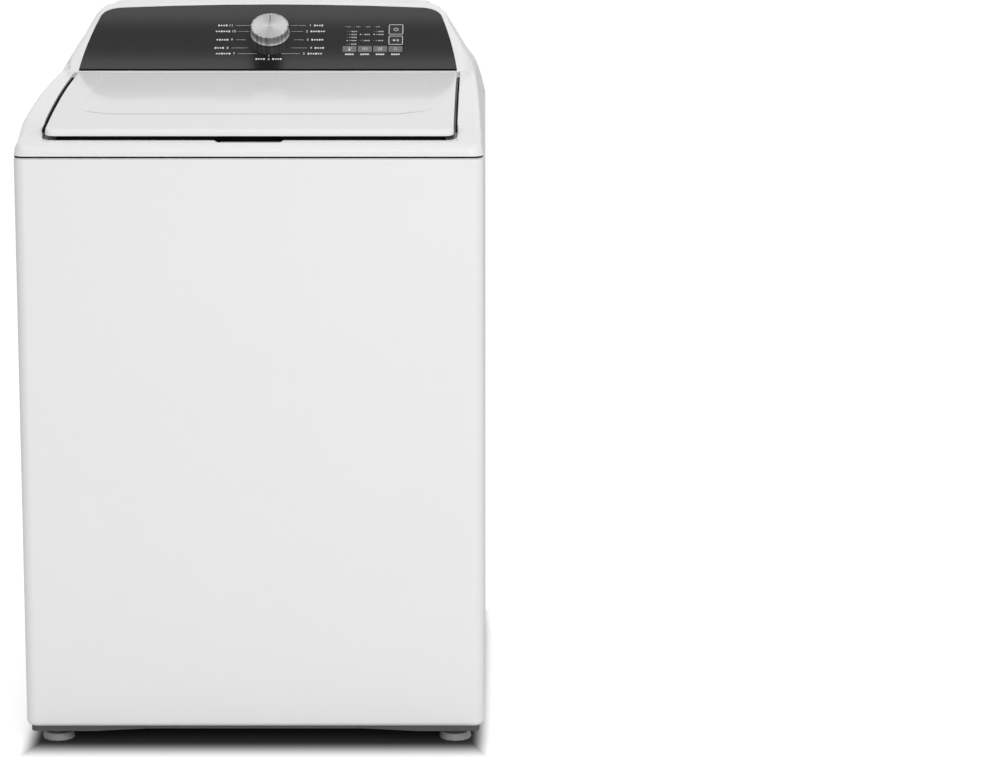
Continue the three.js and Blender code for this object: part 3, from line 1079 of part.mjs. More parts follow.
/** Plan of the belt's inner or outer face, grown from the pulleys by a margin. */
function beltPlan(grow) {
  const far = Math.hypot(MOTOR_X, MOTOR_Y - AXIS_Y);
  const heading = Math.atan2(MOTOR_Y - AXIS_Y, MOTOR_X);
  const open = Math.acos((PULLEY_R - MOTOR_PULLEY_R) / far);
  const outline = new THREE.Shape();
  outline.absarc(0, AXIS_Y, PULLEY_R + grow, heading + open, heading + 2 * Math.PI - open, false);
  outline.absarc(MOTOR_X, MOTOR_Y, MOTOR_PULLEY_R + grow, heading - open, heading + open, false);
  outline.closePath();
  return outline;
}
const belt = beltPlan(GAP + BELT_THICK);
belt.holes.push(beltPlan(GAP));
piece('drive_belt', prism(belt, pulleyTop - PULLEY_H + 4, pulleyTop - 6, 14), RUBBER);

const motorTop = PLATE_Z - GAP;
const motorLow = CASE_Z;
const fins = Array.from({ length: 8 }, (_, i) => {
  const angle = ((i + 0.5) * 2 * Math.PI) / 8;
  return solid(block(MOTOR_R - 4, MOTOR_R + 4, -6, 6, motorLow + 14, motorTop - 18)
    .rotateZ(angle).translate(MOTOR_X, MOTOR_Y, 0));
});
piece('drive_motor', shell(cut(
  solid(turned([
    [0, motorLow], [MOTOR_R - 16, motorLow], [MOTOR_R, motorLow + 9], [MOTOR_R, motorTop - 12],
    [MOTOR_R - 10, motorTop], [0, motorTop],
  ], MOTOR_X, MOTOR_Y, 20)),
  ...fins,
)), CAST);
piece('run_capacitor', turned([
  [0, PLATE_Z - 84], [18, PLATE_Z - 84], [20, PLATE_Z - 82], [20, PLATE_Z - GAP], [0, PLATE_Z - GAP],
], -14, AXIS_Y + Math.max(CASE_R, PULLEY_R) + 25, 24), BRUSHED);
piece('clutch_shifter', shell(joined(
  solid(block(-BOSS_REACH - 14, -CASE_R - 5, AXIS_Y - 22, AXIS_Y + 22, PLATE_Z - 46, PLATE_Z - GAP)),
  solid(post(-Math.max(BOSS_REACH - 2, CASE_R + 14), AXIS_Y, 12, PLATE_Z - 58, PLATE_Z - 45, 20)),
)), DARK_PLASTIC);

// ---------------------------------------------------------------- suspension
const springTop = EAR_Z - EAR_THICK - GAP;
const springLow = springTop - SPRING_H;
/** A coil spring as one closed bar wound on a helix. */
function coil(x, y, low, high) {
  class Helix extends THREE.Curve {
    getPoint(t, target = new THREE.Vector3()) {
      const angle = t * SPRING_TURNS * 2 * Math.PI;
      const radius = SPRING_R - SPRING_WIRE;
      return target.set(x + radius * Math.cos(angle), y + radius * Math.sin(angle),
        low + SPRING_WIRE + t * (high - low - 2 * SPRING_WIRE - SPRING_END));
    }
  }
  const wire = new THREE.Shape();
  wire.absarc(0, 0, SPRING_WIRE, 0, Math.PI * 2, false);
  return new THREE.ExtrudeGeometry(wire, {
    steps: SPRING_TURNS * 7, curveSegments: 2, extrudePath: new Helix(), bevelEnabled: false,
  });
}
for (const [corner, x, y] of rodsAt) {
  piece(`suspension_rod_${corner}`, turned([
    [0, springLow - 12], [7, springLow - 12], [8, springLow - 7], [SPRING_R, springLow - 6],
    [SPRING_R, springLow - GAP], [ROD_R, springLow - GAP], [ROD_R, bracketTop + GAP], [10, bracketTop + GAP],
    [9, bracketTop + 6], [5, bracketTop + 9], [0, bracketTop + 9],
  ], x, y, 8), STEEL);
  piece(`suspension_spring_${corner}`, coil(x, y, springLow, springTop), STEEL);
}

// ---------------------------------------------------------------- water
piece('drain_pump', shell(joined(
  solid(turned([
    [0, PUMP_LOW], [30, PUMP_LOW], [33, PUMP_LOW + 4], [33, PUMP_LOW + 34], [PUMP_R, PUMP_LOW + 38],
    [PUMP_R, PUMP_LOW + 62], [22, PUMP_LOW + 70], [22, TUB_FLOOR - 24 - GAP], [0, TUB_FLOOR - 24 - GAP],
  ], PUMP_AT[0], PUMP_AT[1], 18)),
  solid(new THREE.CylinderGeometry(10, 10, PUMP_R + 22, 12).rotateZ(Math.PI / 2)
    .translate(PUMP_AT[0] - (PUMP_R + 22) / 2, PUMP_AT[1], PUMP_LOW + 50)),
)), TUB_PLASTIC);

const drainPortBack = REAR - 12;
const outletX = PUMP_AT[0] - PUMP_R - 22 - GAP;
const hoseX = -SIDE + 124;
piece('drain_hose', tube([
  [outletX, PUMP_AT[1], PUMP_LOW + 50], [outletX - 8, PUMP_AT[1], PUMP_LOW + 50],
  [outletX - 32, PUMP_AT[1] + 20, PUMP_LOW + 40],
  [outletX - 40, PUMP_AT[1] + 90, PUMP_LOW - 10], [outletX - 30, REAR - 110, PUMP_LOW - 14],
  [hoseX, REAR - 40, PUMP_LOW + 20], [hoseX, REAR - 29, TUB_FLOOR + 10], [hoseX, REAR - 29, DRAIN_AT[1] - 110],
  [hoseX - 14, REAR - 34, DRAIN_AT[1] - 18], [DRAIN_AT[0], drainPortBack - 9, DRAIN_AT[1]],
  [DRAIN_AT[0], drainPortBack - GAP, DRAIN_AT[1]],
], 9.5, 32), DARK_PLASTIC);
piece('drain_port', shell(cut(
  joined(
    solid(throughRear(DRAIN_AT, DRAIN_R, drainPortBack, DEPTH / 2 - 3)),
    solid(throughRear(DRAIN_AT, DRAIN_R + 7, PANEL_Y + PANEL_BULGE - 4, PANEL_Y + PANEL_BULGE - GAP)),
  ),
  solid(throughRear(DRAIN_AT, DRAIN_R - 4, drainPortBack - 5, DEPTH)),
)), TUB_PLASTIC);
const gland = PANEL_Y + PANEL_BULGE + SHEET + GAP;
piece('cord_gland', shell(cut(
  joined(
    solid(throughRear(CORD_AT, CORD_R, gland - 14, gland + 5)),
    solid(throughRear(CORD_AT, CORD_R + 5, gland, gland + 3)),
  ),
  solid(throughRear(CORD_AT, 4.2, gland - 20, gland + 20, 16)),
)), DARK_PLASTIC);
const valvePorts = [-1, 1].map((side) => [VALVE_X + (side * VALVE_PITCH) / 2, VALVE_Z]);
piece('inlet_valve', shell(cut(
  joined(
    solid(block(VALVE_X - 44, VALVE_X + 44, COVER_REAR - 40, COVER_REAR, VALVE_Z - 16, VALVE_Z + 16)),
    ...valvePorts.map((at) => solid(throughRear(at, PORT_R, COVER_REAR - 2, DEPTH / 2))),
    ...valvePorts.map(([x, z]) => solid(post(x, COVER_REAR - 22, 14, z - 1, z + 34, 12))),
  ),
  ...valvePorts.map((at) => solid(throughRear(at, PORT_R - 4, COVER_REAR - 6, DEPTH))),
)), TUB_PLASTIC);

export default machine;
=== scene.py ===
"""A top load washing machine: finishes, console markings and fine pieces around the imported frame.

The machine stands on its feet at z = 0 and faces -Y. Finishes and the studio are measured in metres,
the sub-assemblies in millimetres.
"""

import functools
import json
import logging
import math
from dataclasses import dataclass, field
from enum import Enum
from typing import Callable, Sequence

import bmesh
import bpy
from mathutils import Matrix, Vector
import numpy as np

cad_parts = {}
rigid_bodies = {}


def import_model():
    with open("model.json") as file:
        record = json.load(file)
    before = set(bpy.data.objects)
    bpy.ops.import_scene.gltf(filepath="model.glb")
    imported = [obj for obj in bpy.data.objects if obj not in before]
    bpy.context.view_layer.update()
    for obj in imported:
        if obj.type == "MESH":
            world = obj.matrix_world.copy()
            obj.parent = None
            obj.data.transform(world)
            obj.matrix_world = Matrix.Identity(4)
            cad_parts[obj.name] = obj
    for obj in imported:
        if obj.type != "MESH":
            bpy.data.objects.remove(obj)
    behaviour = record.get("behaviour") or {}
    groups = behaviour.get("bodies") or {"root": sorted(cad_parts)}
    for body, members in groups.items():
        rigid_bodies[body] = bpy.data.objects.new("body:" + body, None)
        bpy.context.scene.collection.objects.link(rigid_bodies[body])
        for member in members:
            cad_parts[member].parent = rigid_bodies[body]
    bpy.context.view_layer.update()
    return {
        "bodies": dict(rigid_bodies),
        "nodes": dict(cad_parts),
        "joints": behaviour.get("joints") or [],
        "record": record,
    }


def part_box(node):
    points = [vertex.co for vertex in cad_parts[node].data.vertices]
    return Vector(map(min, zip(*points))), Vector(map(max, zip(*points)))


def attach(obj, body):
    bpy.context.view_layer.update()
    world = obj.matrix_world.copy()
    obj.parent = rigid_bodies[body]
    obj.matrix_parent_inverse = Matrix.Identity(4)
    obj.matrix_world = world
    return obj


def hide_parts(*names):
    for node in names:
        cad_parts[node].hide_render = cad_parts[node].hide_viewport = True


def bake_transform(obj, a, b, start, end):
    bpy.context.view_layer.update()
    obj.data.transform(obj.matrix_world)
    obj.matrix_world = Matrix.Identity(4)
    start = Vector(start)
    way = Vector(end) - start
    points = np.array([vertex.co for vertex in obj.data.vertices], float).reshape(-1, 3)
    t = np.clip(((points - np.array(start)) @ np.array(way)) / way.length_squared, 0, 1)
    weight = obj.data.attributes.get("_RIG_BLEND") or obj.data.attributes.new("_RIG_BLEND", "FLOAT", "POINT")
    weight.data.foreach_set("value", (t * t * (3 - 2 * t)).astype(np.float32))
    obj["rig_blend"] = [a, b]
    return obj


log = logging.getLogger("washer")
Spot = tuple[float, float]
Point = tuple[float, float, float]
Row = tuple[float, ...]
Outline = tuple[Spot, ...]
Colour = tuple[float, float, float]
Piece = bpy.types.Object
Form = bmesh.types.BMesh
MM = 0.001
CRISP_ANGLE = 32.0
WELD_GAP = 0.00001
FACE_WEIGHT = 80
AXLE = (0.0, -0.01275, 0.0)
PEEL = 520.0
BRUSHING = (30.0, 30.0, 2600.0)
DIAL_LEAN = (0.829, 0.559)
WHITE = (1.0, 1.0, 1.0)


class Wire:
    """One shader socket that takes part in Python expressions."""

    def __init__(self, recipe: "Recipe", socket: bpy.types.NodeSocket | None) -> None:
        """Keeps the socket and the recipe it belongs to."""
        self.recipe = recipe
        self.socket = socket

    def __add__(self, other: "Value") -> "Wire":
        """Sum."""
        return self.recipe.math("ADD", self, other)

    def __radd__(self, other: "Value") -> "Wire":
        """Reflected sum."""
        return self.recipe.math("ADD", other, self)

    def __sub__(self, other: "Value") -> "Wire":
        """Difference."""
        return self.recipe.math("SUBTRACT", self, other)

    def __rsub__(self, other: "Value") -> "Wire":
        """Reflected difference."""
        return self.recipe.math("SUBTRACT", other, self)

    def __mul__(self, other: "Value") -> "Wire":
        """Product."""
        return self.recipe.math("MULTIPLY", self, other)

    def __rmul__(self, other: "Value") -> "Wire":
        """Reflected product."""
        return self.recipe.math("MULTIPLY", other, self)

    def above(self, limit: "Value") -> "Wire":
        """1 where the wire is greater than the limit, else 0."""
        return self.recipe.math("GREATER_THAN", self, limit)

    def below(self, limit: "Value") -> "Wire":
        """1 where the wire is less than the limit, else 0."""
        return self.recipe.math("LESS_THAN", self, limit)


Value = Wire | float | tuple
Look = tuple[Value, Value, Wire]


class Recipe:
    """The node tree of one material, world or stage surface."""

    def __init__(self, tree: bpy.types.NodeTree) -> None:
        """Starts from an empty tree."""
        self.tree = tree
        tree.nodes.clear()

    def node(self, kind: str, settings: dict | None = None, inputs: dict | None = None,
             output: int | str = 0) -> Wire:
        """Adds one node.

        Args:
            kind: the node's type name.
            settings: attributes that are set first.
            inputs: socket name or index to a value or wire.
            output: the output that is handed back.

        Returns:
            The chosen output as a wire.
        """
        made = self.tree.nodes.new(kind)
        for name, value in (settings or {}).items():
            setattr(made, name, value)
        for key, value in (inputs or {}).items():
            socket = made.inputs[key]
            if isinstance(value, Wire):
                self.tree.links.new(value.socket, socket)
            else:
                socket.default_value = (*value, 1.0) if socket.type == "RGBA" else value
        return Wire(self, made.outputs[output] if len(made.outputs) else None)

    def math(self, operation: str, first: Value, second: Value = 0.0) -> Wire:
        """The result of one Math node."""
        return self.node("ShaderNodeMath", {"operation": operation}, {0: first, 1: second})

    def vector(self, operation: str, first: Value, second: Value = (0.0, 0.0, 0.0), output: str = "Vector") -> Wire:
        """The result of one Vector Math node."""
        return self.node("ShaderNodeVectorMath", {"operation": operation}, {0: first, 1: second}, output)

    def place(self) -> Wire:
        """The point on the piece, in its own frame."""
        return self.node("ShaderNodeTexCoord", output="Object")

    def noise(self, scale: float, detail: float = 2.0, at: Wire | None = None) -> Wire:
        """Soft noise between 0 and 1, its scale in features per metre, read at the piece's point by default."""
        inputs = {"Vector": at or self.place(), "Scale": scale, "Detail": detail}
        return self.node("ShaderNodeTexNoise", None, inputs, "Fac")

    def streaks(self, at: Wire, scale: float, detail: float = 2.0) -> Wire:
        """Soft noise between 0 and 1 that changes with one number only."""
        inputs = {"W": at, "Scale": scale, "Detail": detail}
        return self.node("ShaderNodeTexNoise", {"noise_dimensions": "1D"}, inputs, "Fac")

    def lay(self) -> Wire:
        """Fine level lines, as a brush leaves them round a drum or along a panel."""
        return self.noise(1.0, 4.0, self.vector("MULTIPLY", self.place(), BRUSHING))

    def cells(self, feature: str, scale: float, output: str) -> Wire:
        """One output of a cell pattern, its scale in cells per metre."""
        inputs = {"Vector": self.place(), "Scale": scale}
        return self.node("ShaderNodeTexVoronoi", {"feature": feature}, inputs, output)

    def grey(self, colour: Wire) -> Wire:
        """How bright a colour is."""
        return self.node("ShaderNodeRGBToBW", None, {0: colour})

    def ease(self, at: Wire, low: float, high: float, ends: Spot = (0.0, 1.0), kind: str = "SMOOTHSTEP") -> Wire:
        """How far a wire is on its way between two limits, told from the first of two ends to the second."""
        inputs = {"Value": at, "From Min": low, "From Max": high, "To Min": ends[0], "To Max": ends[1]}
        return self.node("ShaderNodeMapRange", {"interpolation_type": kind}, inputs)

    def split(self, at: Wire) -> tuple[Wire, Wire, Wire]:
        """The three parts of a vector."""
        parts = self.node("ShaderNodeSeparateXYZ", None, {0: at}).socket.node
        return tuple(Wire(self, part) for part in parts.outputs)

    def mix(self, share: Value, first: Value, second: Value) -> Wire:
        """A blend of two colours, by the share of the second."""
        return self.node("ShaderNodeMix", {"data_type": "RGBA"}, {0: share, 6: first, 7: second}, 2)

    def bump(self, height: Wire, depth: float) -> Wire:
        """A bumped normal, from a height field and what its 1 stands for in metres."""
        return self.node("ShaderNodeBump", None, {"Strength": 1.0, "Distance": depth, "Height": height}, "Normal")


class Grain(Enum):
    """What the surface of a finish looks like close up."""

    ENAMEL = "enamel"
    PRESSED = "pressed"
    GLOSS = "gloss"
    MOULDED = "moulded"
    BRUSHED = "brushed"
    SPUN = "spun"
    FLUTED = "fluted"
    CAST = "cast"
    ZINC = "zinc"
    PERFORATED = "perforated"
    BOARD = "board"
    PRINT = "print"


@dataclass(frozen=True)
class Finish:
    """One finish of the machine: depth is the height of its grain, centre what rings and rows run round."""

    name: str
    colour: Colour
    grain: Grain
    roughness: float
    metallic: float = 0.0
    coat: float = 0.0
    depth: float = 0.00002
    centre: Point = (0.0, 0.0, 0.0)
    glow: float = 0.0
    specular: float = 0.5
    coat_roughness: float = 0.06

    @functools.cache
    def material(self) -> bpy.types.Material:
        """Builds the finish once and hands back the same material after that.

        Returns:
            The material.
        """
        made = bpy.data.materials.new(self.name)
        made.use_nodes = True
        made.diffuse_color = (*self.colour, 1.0)
        skin = Skin(made.node_tree, self)
        colour, roughness, normal = GRAINS[self.grain](skin)
        inputs = {"Base Color": colour, "Roughness": roughness, "Metallic": self.metallic,
                  "Coat Weight": self.coat, "Coat Roughness": self.coat_roughness,
                  "Specular IOR Level": self.specular, "Normal": normal}
        if self.glow:
            inputs |= {"Emission Color": self.colour, "Emission Strength": self.glow}
        surface = skin.node("ShaderNodeBsdfPrincipled", None, inputs, "BSDF")
        skin.node("ShaderNodeOutputMaterial", None, {"Surface": surface})
        return made

    def tone(self, factor: float) -> Colour:
        """The finish's colour, lighter or darker by a factor."""
        return tuple(min(1.0, c * factor) for c in self.colour)


@dataclass(frozen=True)
class Crease:
    """The soft fold pressed across the lid: straight in the middle, bent back and fading towards its ends; tone sets
    the painted shade along the fold.
    """

    front: float = -0.2250
    back: float = -0.2130
    straight: float = 0.2
    bend: float = 7.0
    full: float = 0.235
    end: float = 0.285
    # how dark the painted shade along the fold is
    tone: float = 0.91
    peel: float = 0.01
    depth: float = 0.0006


@dataclass(frozen=True)
class Piercing:
    """The staggered holes in the basket's wall: hole and lip are squared radii, as shares of the pitch."""

    pitch: float = 0.017
    count: int = 104
    low: float = 0.330
    high: float = 0.775
    hole: float = 0.0125
    lip: float = 0.045
    depth: float = 0.0006
    shadow: Colour = (0.012, 0.012, 0.013)


class Skin(Recipe):
    """The node tree of one finish, with a method for each grain that gives its colour, roughness and normal."""

    def __init__(self, tree: bpy.types.NodeTree, finish: Finish) -> None:
        """Starts the finish's tree."""
        super().__init__(tree)
        self.finish = finish

    def look(self, tint: Wire, first: float, second: float, wear: Wire, height: Wire) -> Look:
        """Puts a look together.

        Args:
            tint: how much of the second tone shows.
            first: the first tone's factor.
            second: the second tone's factor.
            wear: what is added to the roughness.
            height: the height field.

        Returns:
            The colour, roughness and normal.
        """
        colour = self.mix(tint, self.finish.tone(first), self.finish.tone(second))
        return colour, self.finish.roughness + wear, self.bump(height, self.finish.depth)

    def off_centre(self) -> Wire:
        """The way from the finish's centre to the point on the piece."""
        return self.vector("SUBTRACT", self.place(), self.finish.centre)

    def turn(self, off: Wire) -> Wire:
        """The angle of a point round the dial's axis, which leans with the console."""
        x, y, z = self.split(off)
        return self.math("ARCTAN2", y * DIAL_LEAN[0] + z * DIAL_LEAN[1], x)

    def enamel(self) -> Look:
        """Baked enamel: faint orange peel and a barely uneven gloss."""
        drift, peel = self.noise(7.0, 3.0), self.noise(PEEL)
        return self.look(drift, 1.0, 0.985, drift * 0.05, peel)

    def pressed(self) -> Look:
        """Baked enamel over the soft crease that is pressed across the lid, with painted shade darkening the colour
        along the crease.

        Returns:
            The colour, roughness and normal.
        """
        crease = Crease()
        colour, roughness, _ = self.enamel()
        x, y, _ = self.split(self.place())
        across = self.math("ABSOLUTE", x)
        past = across.above(crease.straight) * (across - crease.straight)
        run = self.ease(y - past * past * crease.bend, crease.front, crease.back)
        # The product of run and its complement peaks at a quarter.
        fold = run * (1.0 - run) * self.ease(across, crease.end, crease.full) * 4.0
        normal = self.bump(self.noise(PEEL) * crease.peel - fold, crease.depth)
        # painted shade: the colour darkens along the fold, which is also bumped
        return self.mix(fold, colour, self.finish.tone(crease.tone)), roughness, normal

    def gloss(self) -> Look:
        """Polished moulding: flow waves and the odd speck."""
        flow, specks = self.noise(24.0), self.noise(900.0, 1.0)
        return self.look(flow, 1.0, 0.94, specks * 0.04, flow)

    def moulded(self) -> Look:
        """Spark eroded moulding: a fine pebble grain."""
        pebble, drift = self.cells("SMOOTH_F1", 1100.0, "Distance"), self.noise(16.0, 3.0)
        return self.look(drift, 0.94, 1.04, drift * 0.12, pebble)

    def brushed(self) -> Look:
        """Sheet with a grain that runs round the drum or along the panel."""
        lines, smears = self.lay(), self.noise(18.0, 3.0)
        return self.look(lines, 0.86, 1.06, lines * 0.12 + smears * 0.08, lines)

    def spun(self) -> Look:
        """A turned face: fine rings about the finish's centre, with two bright fans and two dark wedges painted into
        its colour as highlights.

        Returns:
            The colour, roughness and normal.
        """
        off = self.off_centre()
        turn = self.turn(off)
        rings = self.streaks(self.vector("LENGTH", off, output="Value"), 5200.0, 3.0)
        # painted highlight: bright fans to the sides and dark wedges above and below the axis; the rings are real grain
        painted_fans = self.math("COSINE", turn * 2.0) * 0.32 + 0.34 + self.streaks(turn, 9.0, 4.0) * 0.6
        return self.look(rings * 0.25 + painted_fans * 0.75, 0.5, 1.12, rings * 0.1, rings)

    def fluted(self) -> Look:
        """The dial's barrel: fine lines along its axis, with broad light and dark stripes painted round it as
        reflections.

        Returns:
            The colour, roughness and normal.
        """
        turn = self.turn(self.off_centre())
        # painted reflection: broad light and dark stripes round the barrel; the fine lines are real grain
        painted_reflection_bands, lines = self.streaks(turn, 5.0), self.streaks(turn, 90.0)
        painted_reflection_contrast = self.ease(painted_reflection_bands, 0.38, 0.62, kind="LINEAR")
        return self.look(painted_reflection_contrast * 0.8 + lines * 0.2, 0.45, 1.6, lines * 0.1, lines)

    def cast(self) -> Look:
        """Die casting: a soft skin with darker hollows."""
        skin, stain = self.noise(260.0, 4.0), self.noise(22.0, 4.0)
        return self.look(stain, 0.8, 1.05, skin * 0.15, skin)

    def zinc(self) -> Look:
        """Zinc plated sheet: pale crystals of slightly different greys."""
        flakes, fine = self.grey(self.cells("F1", 90.0, "Color")), self.noise(700.0)
        return self.look(flakes, 0.86, 1.05, flakes * 0.14, fine)

    def perforated(self) -> Look:
        """Deep drawn stainless sheet with rows of small pierced holes.

        Returns:
            The colour, roughness and normal.
        """
        holes, finish = Piercing(), self.finish
        x, y, z = self.split(self.place())
        turn = self.math("ARCTAN2", y - finish.centre[1], x - finish.centre[0])
        row = z * (1.0 / holes.pitch)
        shift = self.math("MODULO", self.math("FLOOR", row), 2.0) * 0.5
        column = turn * (holes.count / (2 * math.pi)) + shift
        across, up = (self.math("FRACT", at) - 0.5 for at in (column, row))
        spread = across * across + up * up
        band = z.above(holes.low) * z.below(holes.high)
        hole, lip = (spread.below(size) * band for size in (holes.hole, holes.lip))
        lines = self.lay()
        steel = self.mix(lines, finish.tone(0.9), finish.tone(1.05))
        normal = self.bump(1.0 - hole * 0.6 - lip * 0.4, holes.depth)
        return self.mix(hole, steel, holes.shadow), finish.roughness + lines * 0.1 + hole * 0.5, normal

    def board(self) -> Look:
        """Circuit board: tracks under green lacquer.

        Returns:
            The colour, roughness and normal.
        """
        finish = self.finish
        inputs = {"Vector": self.place(), "Scale": 260.0, "Color1": finish.colour, "Color2": finish.tone(0.8),
                  "Mortar": finish.tone(1.7), "Mortar Size": 0.06}
        tracks = self.node("ShaderNodeTexBrick", None, inputs, "Color")
        grey = self.grey(tracks)
        return tracks, finish.roughness + grey * 0.2, self.bump(grey, finish.depth)

    def printed(self) -> Look:
        """Screen printed ink: even, with a slightly ragged density."""
        ink = self.noise(2500.0)
        return self.look(ink, 1.0, 0.92, ink * 0.1, ink)


GRAINS: dict[Grain, Callable[[Skin], Look]] = {
    Grain.ENAMEL: Skin.enamel, Grain.PRESSED: Skin.pressed, Grain.GLOSS: Skin.gloss, Grain.MOULDED: Skin.moulded,
    Grain.BRUSHED: Skin.brushed, Grain.SPUN: Skin.spun, Grain.FLUTED: Skin.fluted, Grain.CAST: Skin.cast,
    Grain.ZINC: Skin.zinc, Grain.PERFORATED: Skin.perforated, Grain.BOARD: Skin.board, Grain.PRINT: Skin.printed,
}

ENAMEL_WHITE = Finish("enamel_white", (0.89, 0.89, 0.89), Grain.ENAMEL, 0.2, coat=0.1, depth=0.000008, specular=0.4)
LID_ENAMEL = Finish("lid_enamel", (0.91, 0.91, 0.91), Grain.PRESSED, 0.08, depth=0.000006, specular=0.02)
LINER_WHITE = Finish("liner_white", (0.80, 0.80, 0.79), Grain.GLOSS, 0.34, depth=0.00003)
CONSOLE_BLACK = Finish("console_face", (0.011, 0.011, 0.012), Grain.GLOSS, 0.07, coat=0.3, depth=0.000004)
KEY_DARK = Finish("pad_dark", (0.012, 0.012, 0.013), Grain.GLOSS, 0.2, depth=0.00001)
KEY_GREY = Finish("pad_grey", (0.145, 0.145, 0.15), Grain.MOULDED, 0.42, depth=0.00001)
BOARD_GREEN = Finish("board_green", (0.02, 0.13, 0.05), Grain.BOARD, 0.35, depth=0.00004)
BLACK_MOULDING = Finish("black_moulding", (0.025, 0.025, 0.027), Grain.MOULDED, 0.5, depth=0.00003)
TUB_GREY = Finish("tub_grey", (0.52, 0.54, 0.55), Grain.MOULDED, 0.46, depth=0.00005)
ZINC_SHEET = Finish("zinc_sheet", (0.56, 0.57, 0.59), Grain.ZINC, 0.34, metallic=0.9, depth=0.00002)
GROUND_STEEL = Finish("ground_steel", (0.56, 0.57, 0.58), Grain.BRUSHED, 0.26, metallic=1.0, depth=0.00001)
BASKET_STEEL = Finish("pierced_steel", (0.74, 0.75, 0.76), Grain.PERFORATED, 0.34, metallic=0.85, centre=AXLE)
PALE_MOULDING = Finish("pale_moulding", (0.60, 0.64, 0.67), Grain.GLOSS, 0.3, depth=0.00003)
RAW_CASTING = Finish("raw_casting", (0.46, 0.46, 0.47), Grain.CAST, 0.42, metallic=0.85, depth=0.00012)
MOTOR_PAINT = Finish("motor_paint", (0.05, 0.052, 0.056), Grain.CAST, 0.4, depth=0.00008)
# black finish of the strips laid in seams and gaps as painted shade
SHADE_STRIP_BLACK = Finish("painted_shade_strip", (0.006, 0.006, 0.006), Grain.MOULDED, 0.85, depth=0.00004, specular=0.1)
SOFT_RUBBER = Finish("soft_rubber", (0.022, 0.022, 0.022), Grain.MOULDED, 0.7, depth=0.00004)
FOOT_GREY = Finish("foot_grey", (0.40, 0.40, 0.40), Grain.MOULDED, 0.5, depth=0.00004)
# zinc grain darkened far below the zinc sheet's tone: painted shade for the frame under the cabinet
BASE_SHADE_DARK = Finish("base_painted_shade", (0.10, 0.10, 0.105), Grain.ZINC, 0.5, metallic=0.3, depth=0.00002)
HOSE_GREY = Finish("ribbed_hose", (0.16, 0.16, 0.165), Grain.MOULDED, 0.5, depth=0.00003)
PRINT_WHITE = Finish("print_white", (0.80, 0.80, 0.80), Grain.PRINT, 0.5, depth=0.000002)
PRINT_GREY = Finish("print_grey", (0.55, 0.55, 0.56), Grain.PRINT, 0.5, depth=0.000002)
LAMP_LIT = Finish("lamp_lit", (0.85, 0.88, 0.92), Grain.PRINT, 0.4, depth=0.000002, glow=0.35)
LAMP_DARK = Finish("lamp_dark", (0.16, 0.16, 0.17), Grain.PRINT, 0.3, depth=0.000002)

CORNERS = ("front_left", "front_right", "rear_left", "rear_right")
CORNER_NODES = {"foot": FOOT_GREY, "suspension_rod": ZINC_SHEET, "suspension_spring": GROUND_STEEL}
NODES: dict[Finish, str] = {
    ENAMEL_WHITE: "cabinet_wrap top_cover rear_panel console_back",
    LID_ENAMEL: "lid",
    LINER_WHITE: "lid_liner bleach_dispenser fill_nozzle tub_ring balance_ring inlet_valve",
    CONSOLE_BLACK: "fascia",
    KEY_DARK: "power_button start_button",
    KEY_GREY: "temperature_button rinse_button options_button faucet_button",
    BOARD_GREEN: "control_board",
    BLACK_MOULDING: "lid_lock clutch_collar run_capacitor clutch_shifter drain_pump drain_port cord_gland",
    TUB_GREY: "outer_tub",
    ZINC_SHEET: "lid_hinge_left lid_hinge_right drive_plate",
    GROUND_STEEL: "cycle_knob lock_bolt lower_bearing upper_bearing drive_shaft",
    BASKET_STEEL: "basket",
    PALE_MOULDING: "wash_plate agitator_post agitator_cap",
    RAW_CASTING: "basket_drive_hub gearcase drive_pulley motor_pulley",
    MOTOR_PAINT: "drive_motor",
    SOFT_RUBBER: "tub_seal drive_belt",
    BASE_SHADE_DARK: "base_frame",
    HOSE_GREY: "drain_hose",
}
NODE_FINISHES: dict[str, Finish] = {
    **{node: finish for finish, nodes in NODES.items() for node in nodes.split()},
    **{f"{kind}_{corner}": finish for kind, finish in CORNER_NODES.items() for corner in CORNERS},
}


def hang(name: str, data: bpy.types.ID) -> Piece:
    """Puts a new object that holds some data into the scene.

    Args:
        name: the object's name.
        data: its mesh, curve, camera or lamp.

    Returns:
        The object.
    """
    holder = bpy.data.objects.new(name, data)
    bpy.context.scene.collection.objects.link(holder)
    return holder


def assign(piece: Piece, finish: Finish) -> None:
    """Gives a piece its finish."""
    piece.data.materials.clear()
    piece.data.materials.append(finish.material())


def crisp(piece: Piece) -> None:
    """Shades a piece smooth, with its sharp edges kept crisp.

    Args:
        piece: the object.
    """
    piece.data.polygons.foreach_set("use_smooth", [True] * len(piece.data.polygons))
    split = piece.modifiers.new("crisp_edges", "EDGE_SPLIT")
    split.split_angle = math.radians(CRISP_ANGLE)
    split.use_edge_sharp = False


def soften(piece: Piece) -> None:
    """Welds a faceted piece and evens its shading, with its sharp edges kept crisp.

    Args:
        piece: the object.
    """
    attributes = piece.data.attributes
    if "custom_normal" in attributes:
        attributes.remove(attributes["custom_normal"])
    weld = piece.modifiers.new("weld", "WELD")
    weld.merge_threshold = WELD_GAP
    crisp(piece)
    even = piece.modifiers.new("even_faces", "WEIGHTED_NORMAL")
    even.mode, even.weight, even.keep_sharp = "FACE_AREA", FACE_WEIGHT, True


